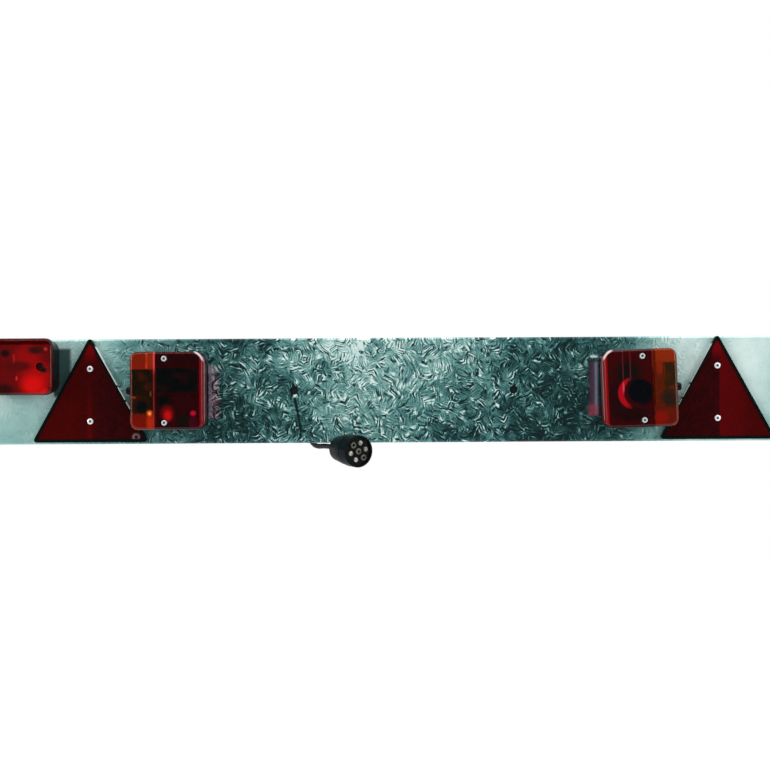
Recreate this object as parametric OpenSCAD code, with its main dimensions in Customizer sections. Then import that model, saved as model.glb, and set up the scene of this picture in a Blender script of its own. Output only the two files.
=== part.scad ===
// Trailer lighting board: a folded galvanised channel with two square rear lamps,
// two triangle reflectors, a fog lamp and a cable with a seven-contact plug.
// X runs along the board, Z is up, and the lamps face -Y. The origin is midway between
// the two fixing holes, on the board's front face.

/* [Board] */
// Length of the board
board_len = 1220; // [1180:10:1400]
// Height of the board's face
board_h = 143; // [141:1:146]
// Depth of the channel, flanges included
board_d = 30; // [28:1:40]
// Thickness of the sheet
sheet_t = 1.5; // [1:0.1:2]
// Outer radius of the folded edges
fold_r = 3; // [2.5:0.5:5]
// Distance between the two fixing holes
hole_gap = 300; // [290:5:310]
// Diameter of the fixing holes
hole_d = 11; // [8:0.5:13]

/* [Rear lamps] */
// Distance from the middle of the board to each lamp's centre
lamp_x = 316; // [314:1:318]
// Width of the lens
lamp_w = 98.5; // [96:0.5:100]
// Height of the lens
lamp_h = 104.5; // [102:0.5:108]
// How far the lamp stands out from the board
lamp_d = 50; // [48:1:58]
// Depth of the lamp base behind the lens
lamp_base_d = 20; // [18:1:22]
// Corner radius of the lens
lamp_corner = 11; // [9:0.5:13]
// Rounding of the lens's front edge
lamp_front_round = 4.5; // [3.5:0.5:6]
// Width of the amber part
amber_w = 33; // [32:0.5:36]
// Height from one lens screw to the other
lamp_screw_gap = 85.5; // [80:0.5:88]
// Turn of the right lamp on the board, in degrees
right_lamp_turn = 1.9; // [0:0.1:2]

/* [Fog lamp] */
// Clearance between the fog lamp's base and the triangle beside it
fog_clear = 6; // [1:0.5:15]
// Height of the fog lamp's centre over the fixing holes
fog_z = 34; // [33:1:36]
// Width of the fog lamp's lens
fog_w = 101; // [98:0.5:102]
// Height of the fog lamp's lens
fog_h = 76; // [74:0.5:78]
// How far the fog lamp stands out from the board
fog_d = 45; // [44:1:55]
// Distance between the fog lamp's screws
fog_screw_gap = 68; // [64:1:74]

/* [Lens and base walls] */
// Wall of every lens
lens_wall = 2.4; // [1.8:0.1:3]
// Wall of every lamp base
base_wall = 2.5; // [2:0.1:3]
// Thickness of the seal between base and lens
seal_t = 1.2; // [0.8:0.1:2]

/* [Triangle reflectors] */
// Width of the triangle, between the points where its sides would meet
tri_w = 158.5; // [150:0.5:160]
// Height of the triangle, measured the same way
tri_h = 144; // [140:0.5:145]
// Radius of the triangle's corners
tri_corner = 3.5; // [3:0.5:8]
// Clearance between a triangle and the lamp base beside it
tri_clear = 0.5; // [0.3:0.05:4]
// Height of the black tray over the board
tri_d = 7; // [6:0.5:9]
// Width of the tray's rim
tri_rim = 4; // [3:0.5:6]
// Distance between a triangle's two rivets
tri_rivet_gap = 71.5; // [66:0.5:74]

/* [Fasteners] */
// Diameter of the lens screws' heads
screw_head_d = 8.7; // [7:0.1:9.5]
// Diameter of the lens screws' shanks
screw_d = 4; // [3.5:0.1:4.5]
// Diameter of the rivet heads
rivet_head_d = 8; // [6:0.5:9]
// Diameter of the rivet shanks
rivet_d = 4; // [3:0.1:4.5]
// Diameter of the bolts that hold the lamps
bolt_d = 5; // [4:0.5:6]

/* [Bulbs] */
// Diameter of a bulb's glass
globe_d = 25; // [18:0.5:26]
// Diameter of a bulb's metal cap
cap_d = 15; // [14:0.5:16]

/* [Plug and cables] */
// Diameter of the supply cable
supply_d = 7; // [6:0.5:7]
// Diameter of the link and fog cables
link_d = 5; // [4:0.5:6]
// Diameter of the plug's barrel
plug_d = 42.7; // [40:0.1:44]
// Length of the plug's shell
plug_len = 51; // [48:1:51]
// Diameter of the circle that the outer contacts stand on
contact_circle = 23; // [21:0.5:24]

/* [Hidden] */
$fn = 48;

left = -1;
right = 1;
gap = 0.15;                    // clearance where one piece sits in another
eps = 0.01;

web_back = sheet_t;            // the web's back face, in Y
inner_h = board_h - 2 * sheet_t;

// Rear lamp, in its own frame: z out of the board, amber part at -x
lamp_z = 1;
base_inset = 1.5;              // the base is this much smaller than the lens all round
base_corner = 15;
flange_t = 4;                  // the base's rim
flange_inset = 0.5;
seal_w = 4;
lens_z = lamp_base_d + seal_t; // where the lens starts
seam_x = -lamp_w / 2 + amber_w;
seam_wall = 2;
screw_x = -3.3;
boss_d = 12;
plate_z = 6;
plate_t = 0.8;
head_recess_d = screw_head_d + 1.8;
head_recess = 3.5;
screw_head_t = 3;
bolt_y = 28;                   // lamp bolts, above and below the lamp's centre
bolt_head_t = 3;
grommet_hole_d = 12;
grommet_flange_d = 15;
grommet_flange_t = 1.6;
base_hole_d = grommet_flange_d + 3;
link_hole = [27, 30];          // cable hole behind the lamp, for the link cable
supply_hole = [26, -24];       // the same, for the supply cable
fog_hole = [-27, 30];          // the same, for the fog cable
stop_at = [6.2, -6];           // centre of the stop bulb's glass
indicator_at = [seam_x - seam_wall - (amber_w - seam_wall - lens_wall) / 2, -12];
bulb_z = 26;
neck_len = 17;                 // from the centre of the glass to the cap
cap_len = 18;
socket_len = 20;
socket_wall = 1.5;
dish_d = 40;
dish_rim = 1.6;
dish_h = 5;
gland_z = 9;
gland_d = 11;
gland_len = 13.5;

// Fog lamp, in its own frame
fog_base_d = 31;
fog_lens_z = fog_base_d + seal_t;
fog_bolt_x = 20;
fog_hole_at = [30, 24];
fog_bowl_r = 27;
fog_bowl_d = 16;
fog_bowl_t = 1.2;
fog_bulb_z = 24;
fog_seat_z = fog_bulb_z - globe_d / 2 - 2;
fog_socket_len = 17;
fog_bulb_y = -2;
fog_foot_len = 7;

// Triangle reflector, in its own frame
tri_z = -board_h / 2 + 2.7;    // the triangle's bottom edge
tri_lean = atan2(tri_w / 2, tri_h);
tri_x = lamp_x + beside_slope(lamp_w, lamp_h, lamp_z, tri_clear);
fog_x = tri_x + beside_slope(fog_w, fog_h, fog_z, fog_clear);
tri_floor = 2;
tri_face = tri_d - 0.6;
tri_rivet_z = -4.5;            // midway between the rivets

// Cables behind the board
link_drop = 16;                // from the upper flange down to the link cable
link_z = inner_h / 2 - link_drop;
clip_base_t = 1.5;
clip_wall = 1.3;
clip_w = 10;
link_y = web_back + clip_base_t + link_d / 2 + gap;
clip_gap = 100;
clip_x = [for (i = [-2:2]) i * clip_gap];
leave_run = 70;                // a cable takes this far from its grommet to lie on the web
bow_y = 15.5;                  // and bows back to this depth on the way
clip_run = 15;                 // and comes straight this far before a clip
supply_z = -24;
supply_y = web_back + clip_base_t + supply_d / 2 + gap;
clamp_x = -200;
clamp_len = 14;

// The hank: a flat spiral of two layers, standing on the lower flange
hank_run = 140;
hank_in = 17.5;
hank_out = 56;
hank_y = [4, 18];
tie_t = 1.2;
tie_gap = 0.1;
hank_z = -inner_h / 2 + tie_t + 2 * tie_gap + hank_out;
tie_w = 4.6;
tie_x = [-45, 45];

// The plug: its face's centre and the way it points
plug_at = [-59.6, -66, -80.6];
plug_pitch = 3;
plug_yaw = 33;
barrel_len = 17;
groove_len = 2;
groove_depth = 1.1;
plug_rear_d = 34;
plug_bore_d = plug_d - 5;
carrier_recess = 3;
carrier_t = 14;
plug_cavity_len = plug_len - 4 - carrier_recess - carrier_t;
contact_turn = 14;
contact_rise = 2.6;
pin_d = 6.4;
sleeve_d = 8.2;
sleeve_bore_d = 3.6;
plug_gland_d = 19;
plug_gland_len = 8;
boot_len = 12;
plug_gland_hole = 13;

// Routes of the free cable, in millimetres
free_lead_route = [
    [-193, 6.65, -24], [-187, 6.65, -24], [-180, 6.65, -24], [-165, 7, -25.2], [-148, 7.5, -30.5],
    [-130, 7.5, -39.5], [-112, 7.5, -51], [-93, 7.5, -60.8], [-77, 7.5, -64.6], [-64, 7.5, -65],
];
cable_tail_route = [
    [-64, 14.5, 38], [-76.2, 14.7, 37.8], [-88.3, 15.9, 36.4], [-99.7, 18.6, 33.3], [-110, 22.6, 28.1],
    [-118.4, 27.7, 20.9], [-124.9, 33.2, 12.1], [-129.5, 38.6, 2.2], [-132.5, 43.3, -8.6],
    [-134.4, 47.1, -20], [-135.3, 49.7, -31.9], [-135.5, 50.8, -44.1], [-134.6, 49.5, -56.1],
    [-131.4, 44.5, -66.7], [-126.1, 36.4, -74], [-119.7, 26.5, -76.9], [-113, 16.3, -76.5],
];

// Outlines and blocks

module round_rect(w, h, r) {
    square([w - 2 * r, h], center = true);
    square([w, h - 2 * r], center = true);
    for (x = [-1, 1], y = [-1, 1])
        translate([x * (w / 2 - r), y * (h / 2 - r)])
            circle(r);
}

// A block with round corners whose front edge is rounded too, from z = 0 to z = d
module pillow(w, h, d, r, f) {
    linear_extrude(d - f)
        round_rect(w, h, r);
    translate([0, 0, d - f]) {
        linear_extrude(f)
            round_rect(w - 2 * f, h - 2 * f, r - f);
        for (x = [-1, 1], y = [-1, 1])
            translate([x * (w / 2 - r), y * (h / 2 - r), 0])
                rotate_extrude()
                    round_edge(r, f);
        for (s = [-1, 1]) {
            translate([s * (w / 2 - f), 0, 0])
                edge_bar(h - 2 * r, f, 90);
            translate([0, s * (h / 2 - f), 0])
                edge_bar(w - 2 * r, f, 0);
        }
    }
}

module round_edge(r, f) {
    square([r - f, f]);
    intersection() {
        translate([r - f, 0])
            circle(f);
        square([r, f]);
    }
}

module edge_bar(len, f, turn) {
    intersection() {
        rotate([90, 0, 90 + turn])
            cylinder(r = f, h = len, center = true);
        translate([-len, -len, 0])
            cube([2 * len, 2 * len, f]);
    }
}

module pillow_shell(w, h, d, r, f, wall) {
    difference() {
        pillow(w, h, d, r, f);
        translate([0, 0, -eps])
            pillow(w - 2 * wall, h - 2 * wall, d - wall + eps, r - wall, f - wall);
    }
}

module tube(outer_d, inner_d, h) {
    difference() {
        cylinder(d = outer_d, h = h);
        translate([0, 0, -eps])
            cylinder(d = inner_d, h = h + 2 * eps);
    }
}

// A triangle on its base, centred on x, with arcs of radius r at its corners
function corner_arc(c, r, from, to) =
    [for (i = [0:6]) let (a = from + (to - from) * i / 6) c + r * [cos(a), sin(a)]];
function round_triangle(w, h, r) =
    let (lean = tri_lean)
    let (foot = [w / 2 - r * (1 + sin(lean)) / cos(lean), r])
    let (top = [0, h - r / sin(lean)])
    concat(
        corner_arc(foot, r, -90, lean),
        corner_arc(top, r, lean, 180 - lean),
        corner_arc([-foot[0], foot[1]], r, 180 - lean, 270)
    );

// Cables: rings along a smooth curve through the route's points

function ends_out(p) =
    concat([2 * p[0] - p[1]], p, [2 * p[len(p) - 1] - p[len(p) - 2]]);
function curve_at(a, b, c, d, t) =
    0.5 * (2 * b + (c - a) * t + (2 * a - 5 * b + 4 * c - d) * t * t
    + (3 * b - a - 3 * c + d) * t * t * t);
function smooth(p, steps) =
    let (q = ends_out(p))
    concat(
        [for (i = [0:len(p) - 2], s = [0:steps - 1])
            curve_at(q[i], q[i + 1], q[i + 2], q[i + 3], s / steps)],
        [p[len(p) - 1]]
    );
function unit(v) = v / norm(v);
function heading(p, i) = unit(p[min(i + 1, len(p) - 1)] - p[max(i - 1, 0)]);
function square_to(n, t) = unit(n - (n * t) * t);
function sides_along(p, i, n) =
    i == len(p) ? [] :
    let (m = square_to(n, heading(p, i)))
    concat([m], sides_along(p, i + 1, m));

module cable(route, d, steps = 1, sides = 10, first_side = [0, 0.3, 1]) {
    path = smooth(route, steps);
    across = sides_along(path, 0, first_side);
    rings = len(path);
    points = [for (i = [0:rings - 1], k = [0:sides - 1])
        let (a = 360 * k / sides, u = across[i], v = cross(heading(path, i), u))
        path[i] + d / 2 * (cos(a) * u + sin(a) * v)];
    walls = [for (i = [0:rings - 2], k = [0:sides - 1])
        let (a = i * sides + k, b = i * sides + (k + 1) % sides)
        each [[a, b, b + sides], [a, b + sides, a + sides]]];
    start = [[for (k = [0:sides - 1]) sides - 1 - k]];
    finish = [[for (k = [0:sides - 1]) (rings - 1) * sides + k]];
    polyhedron(points, [for (f = concat(walls, start, finish)) [for (j = [len(f) - 1:-1:0]) f[j]]]);
}

// Places on the board, in frames whose z points out of its front

module on_board(x, z, turn = 0) {
    translate([x, 0, z])
        rotate([90, 0, 0])
            rotate([0, 0, turn])
                children();
}

module lamp_frame(side) {
    on_board(side * lamp_x, lamp_z, side == right ? right_lamp_turn : 0)
        mirror([side == right ? 1 : 0, 0, 0])
            children();
}

module fog_frame() {
    on_board(-fog_x, fog_z)
        children();
}

module triangle_frame(side) {
    on_board(side * tri_x, tri_z)
        children();
}

// Distance between the centres of a triangle and of a lamp base, w by h with its centre
// at a height z, that stands clear of the triangle's slope
function beside_slope(w, h, z, clear) =
    let (corner = [w, h] / 2 - [1, 1] * (base_inset + base_corner))
    let (over = z - corner[1] - tri_z)
    corner[0] + tri_w / 2 + (base_corner + clear - over * sin(tri_lean)) / cos(tri_lean);

// A point of the lamp's frame, given as [x, y], in the board's X and Z
function lamp_point(side, p) =
    let (turn = side == right ? right_lamp_turn : 0)
    let (x = side == right ? -p[0] : p[0])
    [side * lamp_x + x * cos(turn) - p[1] * sin(turn), lamp_z + x * sin(turn) + p[1] * cos(turn)];

tri_rivets = [for (s = [-1, 1]) -tri_z + tri_rivet_z + s * tri_rivet_gap / 2];

// Board

module channel_section(h, d, r) {
    translate([r, -h / 2])
        square([d - r, h]);
    translate([0, -h / 2 + r])
        square([d, h - 2 * r]);
    for (s = [-1, 1])
        translate([r, s * (h / 2 - r)])
            circle(r);
}

module board() {
    color("lightslategray")
        difference() {
            rotate([90, 0, 90])
                linear_extrude(board_len, center = true)
                    difference() {
                        channel_section(board_h, board_d, fold_r);
                        translate([sheet_t, 0])
                            channel_section(inner_h, board_d, fold_r - sheet_t);
                    }
            for (s = [-1, 1])
                on_board(s * hole_gap / 2, 0)
                    through_web(hole_d);
            for (side = [left, right]) {
                lamp_frame(side)
                    lamp_web_holes();
                triangle_frame(side)
                    for (y = tri_rivets)
                        translate([0, y])
                            through_web(rivet_d + 2 * gap);
            }
            lamp_frame(left)
                for (p = [supply_hole, fog_hole])
                    translate(p)
                        through_web(grommet_hole_d);
            fog_frame() {
                for (s = [-1, 1])
                    translate([s * fog_bolt_x, 0])
                        through_web(bolt_d + 0.5);
                translate(fog_hole_at)
                    through_web(grommet_hole_d);
            }
        }
}

module through_web(d) {
    translate([0, 0, -sheet_t - 1])
        cylinder(d = d, h = sheet_t + 2);
}

module lamp_web_holes() {
    for (s = [-1, 1])
        translate([0, s * bolt_y])
            through_web(bolt_d + 0.5);
    translate(link_hole)
        through_web(grommet_hole_d);
}

// Triangle reflectors

module triangle_back(side) {
    color("black")
        triangle_frame(side)
            difference() {
                linear_extrude(tri_d)
                    polygon(round_triangle(tri_w, tri_h, tri_corner));
                translate([0, 0, tri_floor])
                    linear_extrude(tri_d)
                        triangle_pocket(0);
                for (y = tri_rivets)
                    translate([0, y, -1])
                        cylinder(d = rivet_d + 2 * gap, h = tri_d);
            }
}

// The tray's inside outline, drawn in by a clearance
module triangle_pocket(clear) {
    in = tri_rim + clear;
    shrink = in * (1 / sin(tri_lean) + 1) / tri_h;
    translate([0, in])
        polygon(round_triangle(tri_w * (1 - shrink), tri_h * (1 - shrink), tri_corner / 2));
}

module triangle_reflector(side) {
    color("darkred")
        triangle_frame(side)
            difference() {
                translate([0, 0, tri_floor])
                    linear_extrude(tri_face - tri_floor)
                        triangle_pocket(gap);
                for (y = tri_rivets)
                    translate([0, y, 0])
                        cylinder(d = rivet_d + 2 * gap, h = tri_d);
            }
}

module triangle_rivets(side) {
    color("gainsboro")
        triangle_frame(side)
            for (y = tri_rivets)
                translate([0, y, 0])
                    blind_rivet();
}

module blind_rivet() {
    head_t = 1.6;
    tail_t = 3;
    difference() {
        union() {
            translate([0, 0, -sheet_t - tail_t])
                cylinder(d = rivet_d * 1.5, h = tail_t);
            translate([0, 0, -sheet_t])
                cylinder(d = rivet_d, h = tri_face + sheet_t);
            translate([0, 0, tri_face])
                cylinder(d = rivet_head_d, h = head_t * 0.6);
            translate([0, 0, tri_face + head_t * 0.6])
                cylinder(d1 = rivet_head_d, d2 = rivet_head_d * 0.66, h = head_t * 0.4);
        }
        translate([0, 0, tri_face - 1])
            cylinder(d = rivet_d * 0.5, h = head_t + 2);
    }
}

// Rear lamps

module lamp_base(side) {
    color("dimgray")
        lamp_frame(side)
            difference() {
                union() {
                    lamp_tray();
                    for (s = [-1, 1])
                        translate([screw_x, s * lamp_screw_gap / 2, 0])
                            cylinder(d = boss_d, h = lens_z);
                    for (x = [-1, 1], y = [-1, 1])
                        translate([x * (lamp_w / 2 - 14), y * (lamp_h / 2 - 15), 0])
                            cylinder(d = 6, h = plate_z);
                }
                for (s = [-1, 1]) {
                    translate([screw_x, s * lamp_screw_gap / 2, base_wall])
                        cylinder(d = screw_d + 2 * gap, h = lamp_d);
                    translate([0, s * bolt_y, -1])
                        cylinder(d = bolt_d + 2 * gap, h = base_wall + 2);
                }
                for (p = side == left ? [link_hole, supply_hole, fog_hole] : [link_hole])
                    translate([p[0], p[1], -1])
                        cylinder(d = base_hole_d, h = base_wall + 2);
                translate([-lamp_w / 2 - 1, 0, gland_z])
                    rotate([0, 90, 0])
                        cylinder(d = gland_d - 3, h = 8);
            }
}

module lamp_tray() {
    w = lamp_w - 2 * base_inset;
    h = lamp_h - 2 * base_inset;
    difference() {
        union() {
            linear_extrude(lamp_base_d - flange_t)
                round_rect(w, h, base_corner);
            translate([0, 0, lamp_base_d - flange_t])
                linear_extrude(flange_t)
                    lamp_flange_outline(0);
        }
        translate([0, 0, base_wall])
            linear_extrude(lamp_base_d)
                round_rect(w - 2 * base_wall, h - 2 * base_wall, base_corner - base_wall);
    }
}

module lamp_flange_outline(in) {
    round_rect(lamp_w - 2 * flange_inset - 2 * in, lamp_h - 2 * flange_inset - 2 * in, lamp_corner + 1 - in);
}

module lamp_seal(side) {
    color("black")
        lamp_frame(side)
            translate([0, 0, lamp_base_d])
                linear_extrude(seal_t)
                    difference() {
                        lamp_flange_outline(0);
                        lamp_flange_outline(seal_w);
                        for (s = [-1, 1])
                            translate([screw_x, s * lamp_screw_gap / 2])
                                circle(d = boss_d + 2 * gap);
                    }
}

module lamp_lens_body() {
    translate([0, 0, lens_z])
        pillow_shell(lamp_w, lamp_h, lamp_d - lens_z, lamp_corner, lamp_front_round, lens_wall);
}

module red_lens(side) {
    color("red")
        lamp_frame(side)
            difference() {
                union() {
                    intersection() {
                        lamp_lens_body();
                        translate([seam_x, -lamp_h, 0])
                            cube([2 * lamp_w, 2 * lamp_h, 2 * lamp_d]);
                    }
                    for (s = [-1, 1])
                        translate([screw_x, s * lamp_screw_gap / 2, lens_z])
                            cylinder(d = boss_d, h = lamp_d - lens_z - 1);
                }
                for (s = [-1, 1])
                    translate([screw_x, s * lamp_screw_gap / 2, 0]) {
                        cylinder(d = screw_d + 2 * gap, h = lamp_d + 1);
                        translate([0, 0, lamp_d - head_recess])
                            cylinder(d = head_recess_d, h = head_recess + 1);
                    }
            }
}

module amber_lens(side) {
    color("orange")
        lamp_frame(side) {
            intersection() {
                lamp_lens_body();
                translate([seam_x - 2 * lamp_w, -lamp_h, 0])
                    cube([2 * lamp_w, 2 * lamp_h, 2 * lamp_d]);
            }
            seam_h = lamp_h - 2 * lens_wall + eps;
            seam_top = lamp_d - lens_wall + eps;
            translate([seam_x - seam_wall, -seam_h / 2, lens_z])
                cube([seam_wall, seam_h, seam_top - lens_z]);
            translate([seam_x - seam_wall, -lamp_h / 2 + 8, lamp_base_d / 2])
                cube([seam_wall, lamp_h - 16, seam_top - lamp_base_d / 2]);
        }
}

module lens_screw(length) {
    difference() {
        union() {
            cylinder(d1 = screw_head_d, d2 = screw_head_d * 0.78, h = screw_head_t);
            translate([0, 0, -length])
                cylinder(d = screw_d, h = length + eps);
        }
        for (a = [0, 90])
            rotate([0, 0, a])
                translate([-1.9, -0.45, screw_head_t - 1.2])
                    cube([3.8, 0.9, 2]);
    }
}

module lens_screws(side) {
    color("white")
        lamp_frame(side)
            for (s = [-1, 1])
                translate([screw_x, s * lamp_screw_gap / 2, lamp_d - head_recess])
                    lens_screw(lamp_d - head_recess - base_wall - 3);
}

module bulb_plate(side) {
    color("silver")
        lamp_frame(side) {
            translate([0, 0, plate_z])
                linear_extrude(plate_t)
                    difference() {
                        round_rect(lamp_w - 16, lamp_h - 16, 8);
                        for (s = [-1, 1])
                            translate([screw_x, s * lamp_screw_gap / 2])
                                circle(d = boss_d + 1);
                        for (s = [-1, 1])
                            translate([0, s * bolt_y])
                                circle(d = bolt_d + 6);
                    }
            translate([stop_at[0], stop_at[1], plate_z + plate_t - eps])
                tube(dish_d, dish_d - 2 * dish_rim, dish_h);
        }
}

// A socket tube across the lamp, on a foot that stands a drop below the bulb
module bulb_socket(length, foot_len, drop) {
    outer = cap_d + 2 * gap + 2 * socket_wall;
    end = neck_len + length;
    difference() {
        union() {
            translate([0, end, 0])
                rotate([90, 0, 0])
                    cylinder(d = outer, h = length);
            translate([-4, end - foot_len, -drop])
                cube([8, foot_len, drop]);
        }
        translate([0, end - socket_wall, 0])
            rotate([90, 0, 0])
                cylinder(d = cap_d + 2 * gap, h = length);
    }
}

module bulb_sockets(side) {
    color("gray")
        lamp_frame(side)
            for (p = [stop_at, indicator_at])
                translate([p[0], p[1], bulb_z])
                    bulb_socket(socket_len, socket_len - 5, bulb_z - plate_z - plate_t);
}

module bulb() {
    sphere(d = globe_d);
    rotate([-90, 0, 0]) {
        cylinder(d = cap_d - 1, h = neck_len);
        translate([0, 0, neck_len - 3])
            cylinder(d = cap_d, h = cap_len);
    }
}

module stop_bulb(side) {
    color("mistyrose")
        lamp_frame(side)
            translate([stop_at[0], stop_at[1], bulb_z])
                bulb();
}

module indicator_bulb(side) {
    color("mistyrose")
        lamp_frame(side)
            translate([indicator_at[0], indicator_at[1], bulb_z])
                bulb();
}

module side_gland(side) {
    wall_x = -lamp_w / 2 + base_inset;
    color("black")
        lamp_frame(side)
            translate([wall_x, 0, gland_z])
                rotate([0, -90, 0]) {
                    translate([0, 0, -base_wall - 1.5])
                        cylinder(d = gland_d - 3 - 2 * gap, h = base_wall + 2);
                    cylinder(d = gland_d + 2, h = 1.5);
                    cylinder(d = gland_d, h = gland_len - 2);
                    translate([0, 0, gland_len - 2 - eps])
                        cylinder(d1 = gland_d, d2 = gland_d - 3, h = 2);
                }
}

// Bolts through a base and the board, and their flange nuts

module bolt(floor_t) {
    translate([0, 0, floor_t])
        cylinder(d = bolt_d * 1.9, h = bolt_head_t);
    translate([0, 0, -sheet_t - 7])
        cylinder(d = bolt_d, h = sheet_t + 7 + floor_t + eps);
}

module flange_nut() {
    rotate([180, 0, 0])
        translate([0, 0, sheet_t])
            difference() {
                union() {
                    cylinder(d = bolt_d * 2.3, h = 1.2);
                    cylinder(d = bolt_d * 1.85, h = 4.6, $fn = 6);
                }
                translate([0, 0, -1])
                    cylinder(d = bolt_d + 0.1, h = 8);
            }
}

module lamp_bolts(side) {
    color("silver")
        lamp_frame(side)
            for (s = [-1, 1])
                translate([0, s * bolt_y, 0])
                    bolt(base_wall);
}

module lamp_nuts(side) {
    color("silver")
        lamp_frame(side)
            for (s = [-1, 1])
                translate([0, s * bolt_y, 0])
                    flange_nut();
}

// Fog lamp

module fog_base() {
    w = fog_w - 2 * base_inset;
    h = fog_h - 2 * base_inset;
    color("dimgray")
        fog_frame()
            difference() {
                union() {
                    difference() {
                        union() {
                            linear_extrude(fog_base_d - flange_t)
                                round_rect(w, h, base_corner);
                            translate([0, 0, fog_base_d - flange_t])
                                linear_extrude(flange_t)
                                    fog_flange_outline(0);
                        }
                        translate([0, 0, base_wall])
                            linear_extrude(fog_base_d)
                                round_rect(w - 2 * base_wall, h - 2 * base_wall, base_corner - base_wall);
                    }
                    for (s = [-1, 1])
                        translate([s * fog_screw_gap / 2, 0, 0])
                            cylinder(d = boss_d, h = fog_lens_z);
                    translate([0, 0, base_wall - eps])
                        cylinder(d = 16, h = fog_seat_z - base_wall);
                }
                for (s = [-1, 1]) {
                    translate([s * fog_screw_gap / 2, 0, base_wall])
                        cylinder(d = screw_d + 2 * gap, h = fog_d);
                    translate([s * fog_bolt_x, 0, -1])
                        cylinder(d = bolt_d + 2 * gap, h = base_wall + 2);
                }
                translate([fog_hole_at[0], fog_hole_at[1], -1])
                    cylinder(d = base_hole_d, h = base_wall + 2);
            }
}

module fog_flange_outline(in) {
    round_rect(fog_w - 2 * flange_inset - 2 * in, fog_h - 2 * flange_inset - 2 * in, lamp_corner + 1 - in);
}

module fog_seal() {
    color("black")
        fog_frame()
            translate([0, 0, fog_base_d])
                linear_extrude(seal_t)
                    difference() {
                        fog_flange_outline(0);
                        fog_flange_outline(seal_w);
                    }
}

module fog_lens() {
    color("red")
        fog_frame()
            difference() {
                union() {
                    translate([0, 0, fog_lens_z])
                        pillow_shell(
                            fog_w, fog_h, fog_d - fog_lens_z, lamp_corner, lamp_front_round, lens_wall
                        );
                    for (s = [-1, 1])
                        translate([s * fog_screw_gap / 2, 0, fog_lens_z])
                            cylinder(d = boss_d, h = fog_d - fog_lens_z - 1);
                }
                for (s = [-1, 1])
                    translate([s * fog_screw_gap / 2, 0, 0]) {
                        cylinder(d = screw_d + 2 * gap, h = fog_d + 1);
                        translate([0, 0, fog_d - 2 * head_recess])
                            cylinder(d = head_recess_d, h = 3 * head_recess);
                    }
            }
}

module fog_screws() {
    color("gray")
        fog_frame()
            for (s = [-1, 1])
                translate([s * fog_screw_gap / 2, 0, fog_d - 2 * head_recess])
                    lens_screw(fog_d - 2 * head_recess - base_wall - 3);
}

// A bowl around the bulb, cut open at the top where the socket comes in
module fog_reflector() {
    color("silver")
        fog_frame()
            difference() {
                translate([0, 0, fog_seat_z])
                    rotate_extrude()
                        difference() {
                            bowl_section(fog_bowl_r, fog_bowl_d);
                            translate([0, fog_bowl_t])
                                bowl_section(fog_bowl_r - fog_bowl_t, fog_bowl_d);
                        }
                translate([0, fog_bowl_r + 1, fog_bulb_z])
                    rotate([90, 0, 0])
                        cylinder(d = cap_d + 6, h = fog_bowl_r + 1 - cap_d / 2);
            }
}

module bowl_section(r, depth) {
    intersection() {
        translate([0, r])
            circle(r);
        square([r, depth]);
    }
}

module fog_socket() {
    color("gray")
        fog_frame()
            translate([0, fog_bulb_y, fog_bulb_z])
                bulb_socket(fog_socket_len, fog_foot_len, fog_bulb_z - base_wall);
}

module fog_bulb() {
    color("mistyrose")
        fog_frame()
            translate([0, fog_bulb_y, fog_bulb_z])
                bulb();
}

module fog_bolts() {
    color("silver")
        fog_frame()
            for (s = [-1, 1])
                translate([s * fog_bolt_x, 0, 0])
                    bolt(base_wall);
}

module fog_nuts() {
    color("silver")
        fog_frame()
            for (s = [-1, 1])
                translate([s * fog_bolt_x, 0, 0])
                    flange_nut();
}

// Grommets, cables and clips behind the board

module grommet(bore) {
    difference() {
        union() {
            translate([0, 0, eps])
                cylinder(d = grommet_flange_d, h = grommet_flange_t - eps);
            translate([0, 0, -sheet_t])
                cylinder(d = grommet_hole_d - 0.2, h = sheet_t + 1);
            translate([0, 0, -sheet_t - grommet_flange_t])
                cylinder(d = grommet_flange_d, h = grommet_flange_t);
        }
        translate([0, 0, -sheet_t - grommet_flange_t - 1])
            cylinder(d = bore, h = 20);
    }
}

module grommets() {
    color("black") {
        for (side = [left, right])
            lamp_frame(side)
                translate(link_hole)
                    grommet(link_d + 0.2);
        lamp_frame(left) {
            translate(fog_hole)
                grommet(link_d + 0.2);
            translate(supply_hole)
                grommet(supply_d + 0.2);
        }
        fog_frame()
            translate(fog_hole_at)
                grommet(link_d + 0.2);
    }
}

// From a grommet at g = [x, z], straight back and then over to the web, towards +x or -x
function leave_web(g, way, z_end, y_end) =
    let (run = way * leave_run, rise = z_end - g[1])
    [
        [g[0], -4, g[1]], [g[0], 3, g[1]], [g[0] + run * 0.015, 9, g[1] + rise * 0.05],
        [g[0] + run * 0.1, bow_y - 1.5, g[1] + rise * 0.2],
        [g[0] + run * 0.27, bow_y, g[1] + rise * 0.45],
        [g[0] + run * 0.51, bow_y - 3.5, g[1] + rise * 0.8],
        [g[0] + run * 0.77, y_end + 1.5, g[1] + rise * 0.97],
        [g[0] + run, y_end, z_end],
    ];
function backwards(p) = [for (i = [len(p) - 1:-1:0]) p[i]];

module link_cable() {
    from = lamp_point(left, link_hole);
    to = lamp_point(right, link_hole);
    route = concat(
        leave_web(from, 1, link_z, link_y),
        [for (x = clip_x) [x, link_y, link_z]],
        backwards(leave_web(to, -1, link_z, link_y))
    );
    color("black")
        cable(route, link_d, 2, 8);
}

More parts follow.
